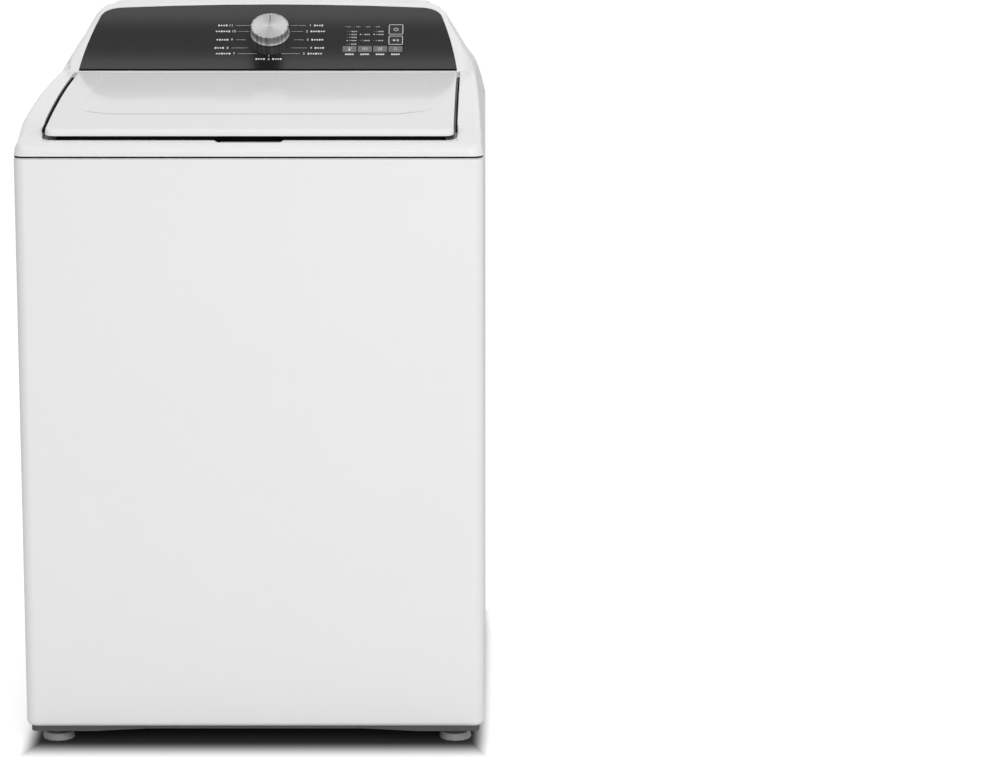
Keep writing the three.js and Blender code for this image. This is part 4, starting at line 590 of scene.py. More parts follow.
def new_piece(name: str, form: Form, finish: Finish, body: str | None,
              smooth: bool = True) -> Piece:
    """Turns a form into a piece that rides on a body.

    Args:
        name: the piece's name.
        form: its shape, freed here.
        finish: its finish.
        body: the body it moves with, or None where it is to bend between two.
        smooth: whether its faces shade smoothly.

    Returns:
        The piece.
    """
    mesh = bpy.data.meshes.new(name)
    form.normal_update()
    form.to_mesh(mesh)
    form.free()
    piece = hang(name, mesh)
    assign(piece, finish)
    if smooth:
        crisp(piece)
    if body:
        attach(piece, body)
    log.info("%s moves with %s", name, body or "two bodies")
    return piece


def circle(radius: float, steps: int) -> list[Spot]:
    """Points round a circle."""
    angles = [2 * math.pi * i / steps for i in range(steps)]
    return [(radius * math.cos(a), radius * math.sin(a)) for a in angles]


def arc(radius: float, start: float, stop: float, steps: int, at: Spot = (0.0, 0.0)) -> list[Spot]:
    """Points on an arc, its angles in degrees."""
    angles = [math.radians(start + (stop - start) * i / steps) for i in range(steps + 1)]
    return [(at[0] + radius * math.cos(a), at[1] + radius * math.sin(a)) for a in angles]


def round_box(half_x: float, half_y: float, radius: float, steps: int, at: Spot = (0.0, 0.0)) -> list[Spot]:
    """A rectangle with round corners.

    Args:
        half_x: half its width.
        half_y: half its height.
        radius: its corner radius.
        steps: sides on each corner.
        at: its middle.

    Returns:
        Its corners, anticlockwise.
    """
    points = []
    for quarter, (sx, sy) in enumerate(((1, 1), (-1, 1), (-1, -1), (1, -1))):
        middle = (at[0] + sx * (half_x - radius), at[1] + sy * (half_y - radius))
        points += arc(radius, 90 * quarter, 90 * (quarter + 1), steps, middle)
    return points


def turned(form: Form, outline: Sequence[Spot], seat: Matrix, steps: int) -> None:
    """Adds an outline spun round an axis.

    Args:
        form: the form it is added to.
        outline: (radius, height) pairs, closed to the axis where the radius is 0.
        seat: where the axis stands: its own z is the axis.
        steps: points round the circle.
    """
    rings = [[form.verts.new(seat @ Vector((x, y, height)))
              for x, y in (circle(radius, steps) if radius else [(0.0, 0.0)])] for radius, height in outline]
    for low, high in zip(rings, rings[1:]):
        for i in range(steps):
            j = (i + 1) % steps
            if len(low) == 1:
                form.faces.new((low[0], high[i], high[j]))
            elif len(high) == 1:
                form.faces.new((low[i], low[j], high[0]))
            else:
                form.faces.new((low[i], low[j], high[j], high[i]))
    bmesh.ops.recalc_face_normals(form, faces=form.faces)


def plate(form: Form, outline: Sequence[Spot], low: float, high: float, seat: Matrix) -> None:
    """Adds a flat outline given thickness.

    Args:
        form: the form it is added to.
        outline: its corners, in order.
        low: where its underside lies.
        high: where its top lies.
        seat: the frame that the outline is drawn in.
    """
    floor, roof = ([form.verts.new(seat @ Vector((x, y, z))) for x, y in outline] for z in (low, high))
    form.faces.new(roof)
    form.faces.new(floor[::-1])
    for i in range(len(outline)):
        j = (i + 1) % len(outline)
        form.faces.new((floor[i], floor[j], roof[j], roof[i]))


def swept(form: Form, rings: Sequence[Sequence[Vector]], scale: float = 1.0) -> None:
    """Adds a closed bar through a row of sections.

    Args:
        form: the form it is added to.
        rings: the sections, all with the same number of corners.
        scale: the length of their unit in metres.
    """
    rows = [[form.verts.new(corner * scale) for corner in ring] for ring in rings]
    for here, there in zip(rows, rows[1:]):
        for i in range(len(here)):
            j = (i + 1) % len(here)
            form.faces.new((here[i], here[j], there[j], there[i]))
    form.faces.new(rows[0][::-1])
    form.faces.new(rows[-1])
    bmesh.ops.recalc_face_normals(form, faces=form.faces)


@dataclass(frozen=True)
class Slope:
    """The console's sloping face: u runs right, v up the slope, n out of it."""

    foot_y: float = 164.0
    foot_z: float = 970.0
    tilt: float = 34.0

    def seat(self, u: float = 0.0, v: float = 0.0, n: float = 0.0) -> Matrix:
        """A frame on the slope.

        Args:
            u: millimetres to the right of the middle.
            v: millimetres up the slope.
            n: millimetres out of the face.

        Returns:
            The frame: its x and y lie in the face, its z stands out of it and its unit is a millimetre.
        """
        tilt = Matrix.Rotation(math.radians(self.tilt), 4, "X")
        foot = Matrix.Translation((0.0, self.foot_y * MM, self.foot_z * MM))
        return foot @ tilt @ Matrix.Translation((u * MM, v * MM, n * MM)) @ Matrix.Scale(MM, 4)


SLOPE = Slope()


@dataclass(frozen=True)
class Bar:
    """A short printed bar with round ends, and the pitch of a row of them."""

    half_x: float
    half_y: float
    corner: float
    pitch: float
    steps: int = 2

    def outline(self, x: float, half_y: float | None = None) -> list[Spot]:
        """The bar's corners when its middle is at x, as tall as it always is or as told."""
        return round_box(self.half_x, half_y or self.half_y, self.corner, self.steps, (x, 0))


@dataclass
class Print:
    """Screen printed marks: strokes, dots and numerals of thin ink."""

    lift: float = 0.02
    ink: float = 0.06
    dot_sides: int = 14
    form: Form = field(default_factory=bmesh.new)

    def stroke(self, points: Sequence[Spot], width: float, seat: Matrix, closed: bool = False) -> None:
        """Adds a line of even width.

        Args:
            points: its corners, in millimetres.
            width: its width in millimetres.
            seat: the frame it is drawn in.
            closed: whether its end joins its start.
        """
        track = [Vector(p) for p in points]
        count = len(track)
        left, right = [], []
        for i, here in enumerate(track):
            before = track[i - 1] if closed or i else here
            after = track[(i + 1) % count] if closed or i < count - 1 else here
            back, on = (here - before).normalized(), (after - here).normalized()
            way = (back + on).normalized()
            side = Vector((-way.y, way.x))
            square = side.dot(Vector((-on.y, on.x))) if on.length else 1.0
            reach = width / 2 / max(0.5, abs(square))
            left.append(here + side * reach)
            right.append(here - side * reach)
        for i in range(count if closed else count - 1):
            j = (i + 1) % count
            self.patch([left[j], right[j], right[i], left[i]], seat)

    def patch(self, outline: Sequence[Spot], seat: Matrix) -> None:
        """Adds a filled outline."""
        plate(self.form, outline, self.lift, self.lift + self.ink, seat)

    def dot(self, radius: float, seat: Matrix) -> None:
        """Adds a filled circle."""
        self.patch(circle(radius, self.dot_sides), seat)

    def row(self, bar: Bar, first: float, count: int, seat: Matrix) -> None:
        """Adds a row of short bars, the first at its own place."""
        for i in range(count):
            self.patch(bar.outline(first + i * bar.pitch), seat)

    def numeral(self, number: int, size: float, seat: Matrix) -> None:
        """Adds a plain number.

        Args:
            number: the number.
            size: the type size in millimetres.
            seat: the frame whose origin is the number's middle.
        """
        curve = bpy.data.curves.new("numeral", "FONT")
        curve.body, curve.size, curve.extrude, curve.resolution_u = str(number), size, self.ink / 2, 3
        curve.align_x = curve.align_y = "CENTER"
        holder = hang("numeral", curve)
        mesh = bpy.data.meshes.new_from_object(holder)
        mesh.transform(seat @ Matrix.Translation((0, 0, self.lift + self.ink / 2)))
        self.form.from_mesh(mesh)
        bpy.data.objects.remove(holder)
        bpy.data.meshes.remove(mesh)
        bpy.data.curves.remove(curve)

    def finish(self, name: str, finish: Finish, body: str = "cabinet", slot: str = "console_black") -> Piece:
        """Makes one piece of all the marks."""
        return new_piece(name, self.form, finish, body, smooth=False)


class Sign(Enum):
    """The plain sign printed on a key."""

    POWER = "power"
    START = "start"
    HEAT = "temperature"
    RINSE = "rinse"
    CHOICE = "options"
    WATER = "faucet"


@dataclass
class Console:
    """The printed face, the lamps, the dial and the signs on the keys.

    Each leader is its height and where its line starts, its line stops and its level bars end. Each lamp column
    is its place, its lamps' heights and the lamp that is lit. Each key is its sign, middle, width and height.
    """

    leaders: tuple[Row, ...] = (
        (106.7, 32.5, 58.0, 90.0), (92.1, 34.5, 53.0, 91.0), (71.5, 38.7, 55.0, 91.0), (51.6, 35.3, 61.0, 91.0),
        (37.7, 20.2, 50.0, 91.0))
    line: float = 0.42
    number: float = 7.2
    number_gap: float = 6.5
    level_gap: float = 12.5
    level_lead: float = 1.3
    level_tall: float = 2.1
    level_bar: Bar = Bar(1.35, 1.5, 0.6, 4.1)
    top_number: float = 6.8
    top_v: float = 123.5
    foot_v: float = 24.5
    foot_levels: Spot = (6.0, 24.0)
    foot_tick: Spot = (34.5, 30.5)
    tick_line: float = 0.672
    lamp_columns: tuple[tuple[float, Row, int], ...] = (
        (125.7, (91.8, 84.4, 77.4, 69.7, 60.8), 3), (147.0, (84.4, 69.5), 0), (169.0, (91.8, 84.4, 69.5), 1))
    lamp: float = 0.85
    lamp_ink: float = 0.3
    lamp_number: float = 4.4
    lamp_number_gap: float = 4.0
    lamp_bar: Bar = Bar(1.1, 1.3, 0.5, 3.1)
    lamp_bar_gap: float = 7.8
    lamp_bars: int = 3
    head_lamp: float = 0.7
    head_us: Row = (121.0, 137.0, 153.0, 169.0)
    head_v: float = 103.5
    head_line: float = 0.9
    head_dash: Spot = (2.6, 9.5)
    key_places: tuple[tuple[Sign, float, float, float, float], ...] = (
        (Sign.POWER, 204.4, 96.0, 24.0, 25.0), (Sign.START, 204.4, 69.5, 24.0, 22.3),
        (Sign.HEAT, 130.0, 48.5, 22.5, 14.0), (Sign.RINSE, 154.8, 48.5, 22.5, 14.0),
        (Sign.CHOICE, 179.6, 48.5, 22.5, 14.0), (Sign.WATER, 204.4, 48.5, 22.5, 14.0))
    key_top: float = 0.8
    key_margin: float = 0.9
    key_corner: float = 1.6
    key_line: float = 1.0
    underline_us: Row = (130.0, 154.8, 179.6, 204.4)
    underline_v: float = 36.0
    underline_start: float = -5.4
    underline_bars: int = 4
    underline_bar: Bar = Bar(1.5, 1.7, 0.6, 3.6)
    dial_v: float = 86.0
    dial_steps: int = 96
    pointer: Row = (0.75, 8.6, 0.7)
    pointer_v: float = 18.2
    pointer_ink: float = 0.08
    barrel: Outline = (
        (3.6, 0.6), (31.3, 0.6), (31.7, 1.0), (31.7, 2.2), (31.2, 2.8), (29.9, 5.2), (29.75, 8.0), (29.9, 12.0),
        (30.3, 15.5), (30.5, 17.3), (30.45, 17.7), (29.3, 18.55), (28.9, 18.6), (28.7, 18.45), (28.6, 18.0))
    cap: Outline = ((28.6, 16.8), (28.65, 18.0), (28.3, 18.25), (14.0, 18.2), (0, 18.2))

    def dial_scale(self) -> None:
        """Prints the twelve numbers round the dial, each on a fine leader line or in line with the dial."""
        ink = Print()
        for side, first in ((1, 1), (-1, 11)):
            for step, (v, start, stop, end) in enumerate(self.leaders):
                ink.stroke([(side * start, 0), (side * stop, 0)], self.line, SLOPE.seat(0, v))
                ink.numeral(first + side * step, self.number, SLOPE.seat(side * (stop + self.number_gap), v))
                self.level(ink, side, stop + self.level_gap, end, v)
        ink.numeral(12, self.top_number, SLOPE.seat(0, self.top_v))
        ink.numeral(6, self.number, SLOPE.seat(0, self.foot_v))
        for side in (1, -1):
            self.level(ink, side, *self.foot_levels, self.foot_v)
        ink.stroke([(0, v) for v in self.foot_tick], self.tick_line, SLOPE.seat())
        ink.finish("dial_scale", PRINT_WHITE)

    def level(self, ink: Print, side: int, start: float, stop: float, v: float) -> None:
        """Prints a row of short level bars outwards from a number, every third one taller.

        Args:
            ink: the print it is added to.
            side: 1 to the right, -1 to the left.
            start: where the row begins, measured from the middle.
            stop: where it ends.
            v: its height up the slope.
        """
        bar = self.level_bar
        for i in range(int((stop - start) / bar.pitch)):
            place = side * (start + self.level_lead + i * bar.pitch)
            ink.patch(bar.outline(place, None if i % 3 else self.level_tall), SLOPE.seat(0, v))

    def lamps(self) -> None:
        """Prints the lamp numbers and sets the small lamps beside them."""
        words, lit, dark = Print(), Print(ink=self.lamp_ink), Print(ink=self.lamp_ink)
        for u, vs, on in self.lamp_columns:
            for step, v in enumerate(vs):
                (lit if step == on else dark).dot(self.lamp, SLOPE.seat(u, v))
                words.numeral(step + 1, self.lamp_number, SLOPE.seat(u + self.lamp_number_gap, v))
                words.row(self.lamp_bar, self.lamp_bar_gap, self.lamp_bars, SLOPE.seat(u, v))
        for u in self.head_us:
            dark.dot(self.head_lamp, SLOPE.seat(u, self.head_v))
            words.stroke([(x, 0) for x in self.head_dash], self.head_line, SLOPE.seat(u, self.head_v))
        words.finish("lamp_numbers", PRINT_GREY)
        lit.finish("lit_lamps", LAMP_LIT)
        dark.finish("dark_lamps", LAMP_DARK)

    def sign(self, ink: Print, sign: Sign, seat: Matrix) -> None:
        """Draws one key's sign.

        Args:
            ink: the print it is added to.
            sign: which sign.
            seat: the key's middle.
        """
        match sign:
            case Sign.POWER:
                ink.stroke(arc(3.4, 122, 418, 20), 0.75, seat)
                ink.stroke([(0, 0.8), (0, 4.6)], 0.75, seat)
            case Sign.START:
                ink.patch([(-4.2, -2.6), (0.2, 0), (-4.2, 2.6)], seat)
                for x in (1.6, 3.8):
                    ink.patch([(x, -2.6), (x + 1.0, -2.6), (x + 1.0, 2.6), (x, 2.6)], seat)
            case Sign.HEAT:
                ink.stroke([(-0.9, -1.0), (-0.9, 3.4), (0, 4.2), (0.9, 3.4), (0.9, -1.0)], 0.45, seat)
                ink.dot(1.7, seat @ Matrix.Translation((0, -2.4, 0)))
                for y in (3.2, 1.2):
                    ink.stroke([(2.2, y), (4.0, y)], 0.4, seat)
            case Sign.RINSE:
                for y in (-2.2, 0.0, 2.2):
                    ink.stroke([(x * 0.5, y + 0.7 * math.sin(x * 0.9)) for x in range(-9, 10)], 0.45, seat)
            case Sign.CHOICE:
                ink.stroke([(-3.2, -3.0), (2.4, -3.0), (2.4, 2.6), (-3.2, 2.6)], 0.45, seat, closed=True)
                ink.stroke([(-1.8, 0.2), (-0.4, -1.4), (3.6, 3.6)], 0.6, seat)
            case Sign.WATER:
                drop = [(0, 4.0), (1.9, 0.6), *arc(2.2, 0, -180, 10, (0, -0.8)), (-1.9, 0.6)]
                ink.stroke(drop, 0.5, seat, closed=True)

    def keys(self) -> None:
        """Prints each key's sign on its top, a frame on the two large ones and the bars below the small ones."""
        for sign, u, v, width, height in self.key_places:
            ink = Print()
            seat = SLOPE.seat(u, v, self.key_top)
            self.sign(ink, sign, seat)
            large = sign in (Sign.POWER, Sign.START)
            if large:
                frame = round_box(width / 2 - self.key_margin, height / 2 - self.key_margin, self.key_corner, 5)
                ink.stroke(frame, self.key_line, seat, closed=True)
            ink.finish(f"{sign.value}_sign", PRINT_WHITE, f"{sign.value}_key", "key_dark" if large else "key_grey")
        below = Print()
        for u in self.underline_us:
            seat = SLOPE.seat(u, self.underline_v)
            below.row(self.underline_bar, self.underline_start, self.underline_bars, seat)
        below.finish("key_underlines", PRINT_WHITE)

    def dial(self) -> None:
        """Builds the turned metal dial with its polished rim and engraved pointer."""
        seat, top = SLOPE.seat(0, self.dial_v), self.cap[-1][1]
        middle = tuple(seat @ Vector((0, 0, top)))
        barrel = Finish("dial_barrel", (0.43, 0.43, 0.435), Grain.FLUTED, 0.36, metallic=0.55, depth=0.00006,
                        centre=middle)
        face = Finish("dial_face", (0.76, 0.76, 0.765), Grain.SPUN, 0.24, metallic=1.0, depth=0.00003, centre=middle)
        form = bmesh.new()
        turned(form, self.barrel, seat, self.dial_steps)
        piece = new_piece("dial", form, barrel, "knob")
        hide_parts("cycle_knob")
        form = bmesh.new()
        turned(form, self.cap, seat, self.dial_steps)
        new_piece("dial_face", form, face, "knob")
        groove = Print(lift=top - self.pointer_ink / 2, ink=self.pointer_ink)
        groove.patch(round_box(*self.pointer, 4, (0, self.pointer_v)), seat)
        groove.finish("dial_pointer", BLACK_MOULDING, "knob", "knob_metal")

    def build(self) -> None:
        """Makes the whole console."""
        self.dial_scale()
        self.lamps()
        self.keys()
        self.dial()


@dataclass
class Seals:
    """Black strips that paint shade into the seams: under the cover, beside the lid and along the console's foot."""

    half: float = 349.25
    front: float = -355.5
    corner: float = 17.5
    seam_back: float = 300.0
    seam_low: float = 908.1
    seam_high: float = 910.3
    seam_outer: float = 0.5
    seam_inner: float = 8.4
    pocket_half: float = 310.0
    rest: float = 967.0
    fall: float = 25.4
    fall_run: float = 430.0
    side_front: float = -305.0
    side_run: float = 420.0
    side_steps: int = 24
    side_section: Outline = ((0.4, -9.0), (-2.6, -9.0), (-3.0, -4.2), (0.4, -3.6))
    lip_half: float = 292.0
    lip_front: float = -313.5
    lip_corner: float = 30.0
    lip_back: float = -150.0
    lip_low: float = -24.4
    lip_high: float = -11.5
    lip_thick: float = 3.0
    scoop_half: float = 46.0
    scoop_jog: float = 3.0
    scoop_front: float = -296.0
    bead_half: float = 304.0
    bead_steps: int = 12
    bead_section: Outline = ((-4.2, -2.4), (-4.0, 0.3), (0.4, 0.45), (0.4, -2.4))
    tightest: float = 2.0
    turn_steps: int = 8

    def lay(self, name: str, rings: Sequence[Sequence[Vector]]) -> None:
        """Makes one strip that stays with the cabinet.

        Args:
            name: the piece's name.
            rings: its four cornered sections, in millimetres.
        """
        form = bmesh.new()
        swept(form, rings, MM)
        # every strip is painted shade in a seam or gap
        new_piece(name, form, SHADE_STRIP_BLACK, "cabinet")

    def path(self, half: float, front: float, corner: float, inset: float, back: float) -> list[Spot]:
        """A plan line down one side, across the front and up the other side.

        Args:
            half: half the width of the outline.
            front: where its front lies.
            corner: the radius of its front corners.
            inset: how far inside the outline the line runs.
            back: where both ends stop.

        Returns:
            Its points, from the left end to the right end.
        """
        radius = max(self.tightest, corner - inset)
        x, y = half - inset - radius, front + inset + radius
        stops = [back, (back * 2 + y) / 3, (back + y * 2) / 3]
        return [*((inset - half, stop) for stop in stops), *arc(radius, 180, 270, self.turn_steps, (-x, y)),
                *arc(radius, 270, 360, self.turn_steps, (x, y)), *((half - inset, stop) for stop in stops[::-1])]

    def wall(self, name: str, outer: Sequence[Spot], inner: Sequence[Spot], low: float, high: float,
             follow: bool = False) -> None:
        """Stands a strip between two plan lines.

        Args:
            name: the piece's name.
            outer: its outer line.
            inner: its inner line.
            low: its foot.
            high: its top.
            follow: whether foot and top are measured from the strips beside the lid.
        """
        self.lay(name, [[Vector((*spot, z + (self.height(spot[1]) if follow else 0.0)))
                         for spot, z in ((a, low), (a, high), (b, high), (b, low))] for a, b in zip(outer, inner)])

    def height(self, y: float) -> float:
        """Height of the strips beside the lid at a depth."""
        left = max(0.0, 1 - (y - self.front) / self.fall_run)
        return self.rest - self.fall * left * left

    def seam(self) -> None:
        """Lays a black strip between the cabinet and the cover, as painted shade in the seam."""
        outer, inner = (self.path(self.half, self.front, self.corner, inset, self.seam_back)
                        for inset in (self.seam_outer, self.seam_inner))
        self.wall("seam_strip", outer, inner, self.seam_low, self.seam_high)

    def lid_edge(self) -> None:
        """Lines the pocket's side walls with black strips, clear of the lid, as painted shade in the gaps beside the
        lid.
        """
        ys = [self.side_front + self.side_run * i / self.side_steps for i in range(self.side_steps + 1)]
        for name, side in (("left", -1), ("right", 1)):
            self.lay(f"lid_side_shade_{name}", [[Vector((side * (self.pocket_half + x), y, self.height(y) + z))
                                          for x, z in self.side_section] for y in ys])

    def deck_lip(self) -> None:
        """Stands a black strip on the deck behind the lid's front edge, set back behind the finger scoop, as painted
        shade in the gap under the lid's front edge.
        """
        outer, inner = (self.path(self.lip_half, self.lip_front, self.lip_corner, inset, self.lip_back)
                        for inset in (0.0, self.lip_thick))
        half = len(outer) // 2
        jog = [(self.scoop_half + self.scoop_jog, self.lip_front), (self.scoop_half - self.scoop_jog, self.scoop_front)]
        middle = [(-x, y) for x, y in jog] + jog[::-1]
        behind = [(x, y + self.lip_thick) for x, y in middle]
        outer, inner = outer[:half] + middle + outer[half:], inner[:half] + behind + inner[half:]
        self.wall("deck_lip", outer, inner, self.lip_low, self.lip_high, follow=True)

    def console_foot(self) -> None:
        """Lays a black strip under the console's face, as painted shade along the console's foot."""
        us = [self.bead_half * (2 * i / self.bead_steps - 1) for i in range(self.bead_steps + 1)]
        self.lay("console_foot_shade", [[SLOPE.seat(u, v, n).translation / MM for v, n in self.bead_section] for u in us])

    def build(self) -> None:
        """Lays every strip."""
        self.seam()
        self.lid_edge()
        self.deck_lip()
        self.console_foot()


@dataclass
class Springs:
    """The coil springs, each held between its rod's foot and the ear of the tub."""

    wire: float = 2.3
    turns: int = 8
    steps: int = 24
    sides: int = 10
    dead: float = 0.09

    def coil(self, corner: str) -> None:
        """Winds one spring in the room of its node and lets its upper end follow the tub.

        Args:
            corner: the corner of the machine it hangs in.
        """
        node = f"suspension_spring_{corner}"
        low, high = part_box(node)
        middle, wire = (low + high) / 2, self.wire * MM
        radius = (high.x - low.x) / 2 - wire
        rings, count = [], self.turns * self.steps
        for i in range(count + 1):
            share = min(1.0, max(0.0, (i / count - self.dead) / (1 - 2 * self.dead)))
            turn = 2 * math.pi * i / self.steps
            out = Vector((math.cos(turn), math.sin(turn), 0))
            at = Vector((middle.x, middle.y, low.z + wire + share * (high.z - low.z - 2 * wire))) + out * radius
            rings.append([at + out * (wire * x) + Vector((0, 0, wire * y)) for x, y in circle(1.0, self.sides)])
        form = bmesh.new()
        swept(form, rings)
        piece = new_piece(f"coil_{corner}", form, GROUND_STEEL, None)
        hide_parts(node)
        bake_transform(piece, "cabinet", "tub", (middle.x, middle.y, low.z + 2 * wire),
                 (middle.x, middle.y, high.z - 2 * wire))

    def build(self) -> None:
        """Winds all four."""
        for corner in CORNERS:
            self.coil(corner)


@dataclass
class InnerHose:
    """The ribbed drain hose, which bends between the hung pump and the port in the rear panel."""

    radius: float = 9.5
    rib: float = 1.1
    pitch: float = 8.0
    cuff: float = 24.0
    step: float = 2.0
    sides: int = 16
    samples: int = 80
    stops: tuple[Point, ...] = (
        (-200.3, -124.75, 178.0), (-208.3, -124.75, 178.0), (-232.3, -104.75, 168.0), (-240.3, -34.75, 118.0),
        (-230.3, 220.0, 114.0), (-225.25, 290.0, 148.0), (-225.25, 301.0, 250.0), (-225.25, 301.0, 702.0),
        (-239.25, 296.0, 794.0), (-253.25, 309.0, 812.0), (-253.25, 317.7, 812.0))

    def line(self) -> list[Vector]:
        """The hose's middle line through its stops.

        Returns:
            Evenly spaced points, from the pump to the port.
        """
        knots = [Vector(stop) for stop in self.stops]
        knots = [knots[0] * 2 - knots[1], *knots, knots[-1] * 2 - knots[-2]]
        fine = []
        for a, b, c, d in zip(knots, knots[1:], knots[2:], knots[3:]):
            t1 = (b - a).length ** 0.5
            t2 = t1 + (c - b).length ** 0.5
            t3 = t2 + (d - c).length ** 0.5
            for i in range(self.samples):
                t = t1 + (t2 - t1) * i / self.samples
                ab, bc, cd = a.lerp(b, t / t1), b.lerp(c, (t - t1) / (t2 - t1)), c.lerp(d, (t - t2) / (t3 - t2))
                abc, bcd = ab.lerp(bc, t / t2), bc.lerp(cd, (t - t1) / (t3 - t1))
                fine.append(abc.lerp(bcd, (t - t1) / (t2 - t1)))
        fine.append(knots[-2])
        even, left = [fine[0]], self.step
        for here, there in zip(fine, fine[1:]):
            gap = (there - here).length
            while gap >= left:
                here = here.lerp(there, left / gap)
                gap -= left
                left = self.step
                even.append(here)
            left -= gap
        return [*even[:-1], fine[-1]]

    def build(self) -> None:
        """Winds the hose's skin round its line and hangs it between the two bodies."""
        line = self.line()
        length = self.step * (len(line) - 1)
        rings, side = [], Vector((0, 0, 1))
        for i, at in enumerate(line):
            along = (line[min(i + 1, len(line) - 1)] - line[max(i - 1, 0)]).normalized()
            side = (side - along * side.dot(along)).normalized()
            other = along.cross(side)
            run = self.step * i
            plain = run < self.cuff or run > length - self.cuff
            radius = self.radius - (0.0 if plain else self.rib * (0.5 - 0.5 * math.cos(2 * math.pi * run / self.pitch)))
            rings.append([at + side * x + other * y for x, y in circle(radius, self.sides)])
        form = bmesh.new()
        swept(form, rings, MM)
        piece = new_piece("inner_hose", form, HOSE_GREY, None)
        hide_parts("drain_hose")
        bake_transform(piece, "cabinet", "tub", (-0.23, 0.26, 0.14), (-0.23, -0.09, 0.14))


@dataclass
class Fasteners:
    """The screws of the rear panel and the console's back plate, in columns of a place, a depth and heights."""

    columns: tuple[tuple[float, float, Row], ...] = (
        (-330.0, 338.5, (45.0, 330.0, 615.0, 893.0)), (0.0, 338.5, (45.0, 893.0)),
        (330.0, 338.5, (45.0, 330.0, 615.0, 893.0)), (-270.0, 336.5, (922.0,)), (-90.0, 336.5, (922.0, 1033.0)),
        (90.0, 336.5, (922.0, 1033.0)), (270.0, 336.5, (922.0,)))
    washer: Outline = ((0, 0), (5.8, 0), (5.8, 0.5), (5.2, 0.9), (4.6, 1.0))
    hexagon: Outline = ((4.3, 0.9), (4.3, 3.1), (3.7, 3.6), (1.4, 3.6), (1.2, 2.6), (0, 2.6))
    steps: int = 20

    def build(self) -> None:
        """Sets all the screws, their heads to the rear."""
        form = bmesh.new()
        for x, y, heights in self.columns:
            for z in heights:
                seat = Matrix.Translation((x * MM, y * MM, z * MM)) @ Matrix.Rotation(-math.pi / 2, 4, "X")
                seat @= Matrix.Scale(MM, 4)
                turned(form, self.washer, seat, self.steps)
                turned(form, self.hexagon, seat, 6)
        new_piece("rear_screws", form, ZINC_SHEET, "cabinet")


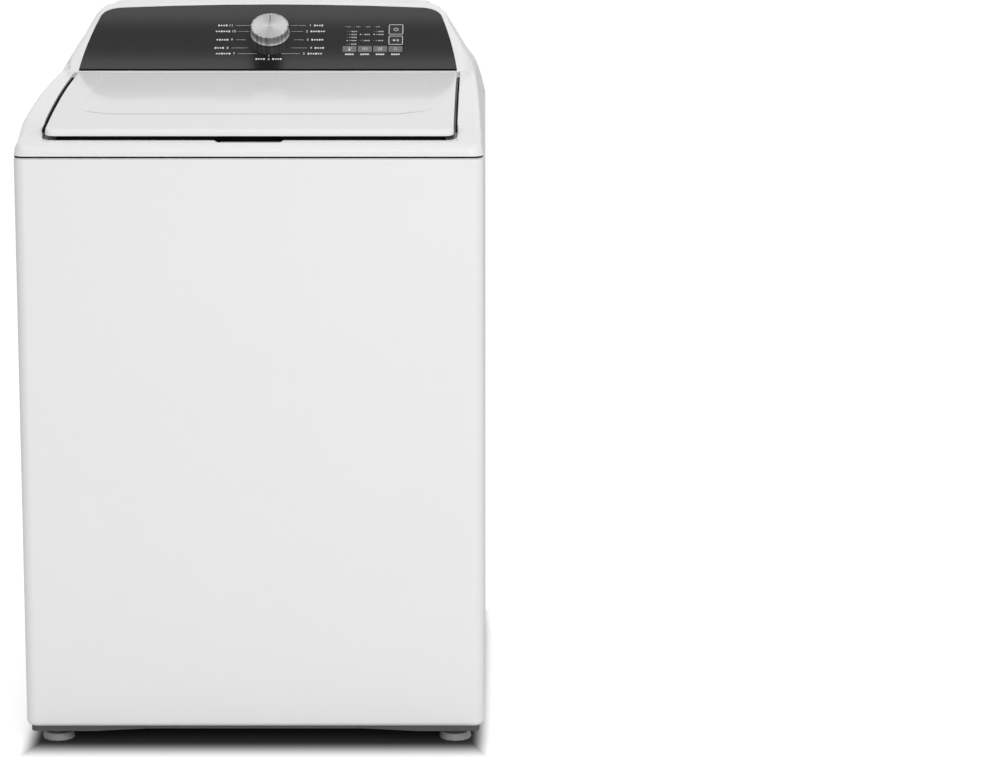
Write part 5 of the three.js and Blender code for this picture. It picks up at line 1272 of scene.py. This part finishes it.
@dataclass
class Studio:
    """The camera, the soft lamps, the pale floor and the white surround."""

    lens: float = 140.1
    sensor: float = 36.0
    place: Point = (0.3736, -6.0536, 1.8189)
    pitch: float = 11.0
    drop: float = -0.1
    reach: float = 100.0
    surround: float = 0.62
    flank: float = 0.3
    flank_from: float = 0.55
    flank_to: float = 0.95
    floor_lift: float = 0.50
    floor_colour: Colour = (0.93, 0.93, 0.93)
    # painted shadow on the floor: its colour under the machine, and the edges where it fades out
    under_colour: Colour = (0.08, 0.08, 0.08)
    floor_reach: float = 30.0
    half_width: float = 0.349
    half_depth: float = 0.3555
    side_fade: float = 3.0
    side_start: float = 0.04
    shade_from: float = -0.02
    shade_to: float = 0.08

    def camera(self) -> None:
        """Sets the camera."""
        data = bpy.data.cameras.new("camera")
        data.lens, data.sensor_width, data.shift_y = self.lens, self.sensor, self.drop
        data.clip_end = self.reach
        holder = hang("camera", data)
        holder.location = self.place
        holder.rotation_euler = (math.radians(90 - self.pitch), 0.0, 0.0)
        bpy.context.scene.camera = holder

    def lamp(self, name: str, at: Point, size: float, power: float, aim: Point = (0.0, 0.0, 0.6),
             shows: bool = True) -> None:
        """Hangs one soft square lamp.

        Args:
            name: its name.
            at: its place.
            size: its side.
            power: its power in watts.
            aim: the point it faces.
            shows: whether glossy surfaces mirror it.
        """
        data = bpy.data.lights.new(name, "AREA")
        data.size, data.energy = size, power
        holder = hang(name, data)
        holder.location = at
        holder.rotation_euler = (Vector(aim) - Vector(at)).to_track_quat("-Z", "Y").to_euler()
        holder.visible_glossy = shows

    def world(self) -> None:
        """Gives a white surround that lights the machine at a plain level, more weakly from the sides."""
        world = bpy.data.worlds.new("surround")
        world.use_nodes = True
        bpy.context.scene.world = world
        recipe = Recipe(world.node_tree)
        seen, glossy, clear = (recipe.node("ShaderNodeLightPath", output=ray) for ray in
                               ("Is Camera Ray", "Is Glossy Ray", "Is Transmission Ray"))
        x, _, _ = recipe.split(recipe.node("ShaderNodeTexCoord", output="Generated"))
        flank = recipe.ease(recipe.math("ABSOLUTE", x), self.flank_from, self.flank_to, (1.0, self.flank))
        plain = recipe.node("ShaderNodeBackground", None, {"Color": WHITE, "Strength": flank * self.surround})
        white = recipe.node("ShaderNodeBackground", None, {"Color": WHITE, "Strength": 1.0})
        share = recipe.math("MINIMUM", seen + glossy + clear, 1.0)
        both = recipe.node("ShaderNodeMixShader", None, {0: share, 1: plain, 2: white})
        recipe.node("ShaderNodeOutputWorld", None, {"Surface": both})

    def sheet(self, name: str, corners: Sequence[Point]) -> tuple[Piece, Recipe]:
        """Lays a flat sheet that isn't part of the machine.

        Args:
            name: its name.
            corners: its four corners, in order.

        Returns:
            The sheet and its material's recipe.
        """
        mesh = bpy.data.meshes.new(name)
        mesh.from_pydata(corners, [], [(0, 1, 2, 3)])
        piece = hang(name, mesh)
        made = bpy.data.materials.new(f"{name}_tone")
        made.use_nodes = True
        mesh.materials.append(made)
        return piece, Recipe(made.node_tree)

    def floor(self) -> None:
        """Lays the pale floor, with a painted shadow under and just around the machine's footprint, and clear from
        below.
        """
        near, far = self.floor_reach, 2 * self.floor_reach
        _, recipe = self.sheet("floor", [(-near, -near, 0), (near, -near, 0), (near, far, 0), (-near, far, 0)])
        seen = recipe.node("ShaderNodeLightPath", output="Is Camera Ray")
        x, y, _ = recipe.split(recipe.place())
        off_side = (recipe.math("ABSOLUTE", x) - self.half_width) * self.side_fade + self.side_start
        off = recipe.math("MAXIMUM", off_side, recipe.math("ABSOLUTE", y) - self.half_depth)
        # painted shadow: on top of the real shadow, the floor's colour and lift fade to dark under and just around the
        # machine
        outside_painted_shadow = recipe.ease(off, self.shade_from, self.shade_to)
        matt = recipe.node("ShaderNodeBsdfDiffuse", None,
                           {"Color": recipe.mix(outside_painted_shadow, self.under_colour, self.floor_colour)})
        lift = recipe.node("ShaderNodeEmission", None, {"Color": WHITE, "Strength": seen * outside_painted_shadow * self.floor_lift})
        surface = recipe.node("ShaderNodeAddShader", None, {0: matt, 1: lift})
        below = recipe.node("ShaderNodeNewGeometry", output="Backfacing") * seen
        clear = recipe.node("ShaderNodeBsdfTransparent")
        both = recipe.node("ShaderNodeMixShader", None, {0: below, 1: surface, 2: clear})
        recipe.node("ShaderNodeOutputMaterial", None, {"Surface": both})

    def card(self, name: str, low: Spot, high: Spot, z: float, glow: float) -> None:
        """Hangs a level card over the console that only gloss shows.

        Args:
            name: its name.
            low: its corner with the lowest x and y.
            high: the opposite corner.
            z: its height.
            glow: how bright it is.
        """
        piece, recipe = self.sheet(name, [(*low, z), (low[0], high[1], z), (*high, z), (high[0], low[1], z)])
        grey = recipe.node("ShaderNodeEmission", None, {"Color": WHITE, "Strength": glow})
        recipe.node("ShaderNodeOutputMaterial", None, {"Surface": grey})
        piece.visible_camera = piece.visible_diffuse = piece.visible_shadow = piece.visible_transmission = False

    def build(self) -> None:
        """Sets the whole studio."""
        bpy.context.scene.view_settings.view_transform = "Standard"
        self.camera()
        self.world()
        self.floor()
        # reflection-only cards as painted reflections: the grey card darkens the middle of the fascia's reflection, and
        # the dark flag lays a dark streak in it below the dial in place of the dial's own reflection
        self.card("grey_card", (-0.9, 0.448), (0.9, 0.518), 2.0, 0.35)
        self.card("dark_flag", (-0.089, 0.375), (-0.036, 0.495), 1.96, 0.03)
        self.lamp("front_lamp", (1.1, -5.0, 2.0), 3.0, 74)
        self.lamp("top_lamp", (0.2, 0.1, 3.4), 1.4, 13, (0.0, -0.1, 0.95), shows=False)
        self.lamp("side_lamp", (3.6, -2.6, 2.0), 2.4, 12)


def dress(nodes: dict[str, Piece]) -> None:
    """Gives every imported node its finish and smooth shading."""
    for name, piece in nodes.items():
        assign(piece, NODE_FINISHES[name])
        soften(piece)


def main() -> None:
    """Builds the machine's looks in order."""
    logging.basicConfig(level=logging.INFO, format="%(message)s")
    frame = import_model()
    Studio().build()
    dress(frame["nodes"])
    Console().build()
    Seals().build()
    Springs().build()
    InnerHose().build()
    Fasteners().build()


if __name__ == "__main__":
    main()
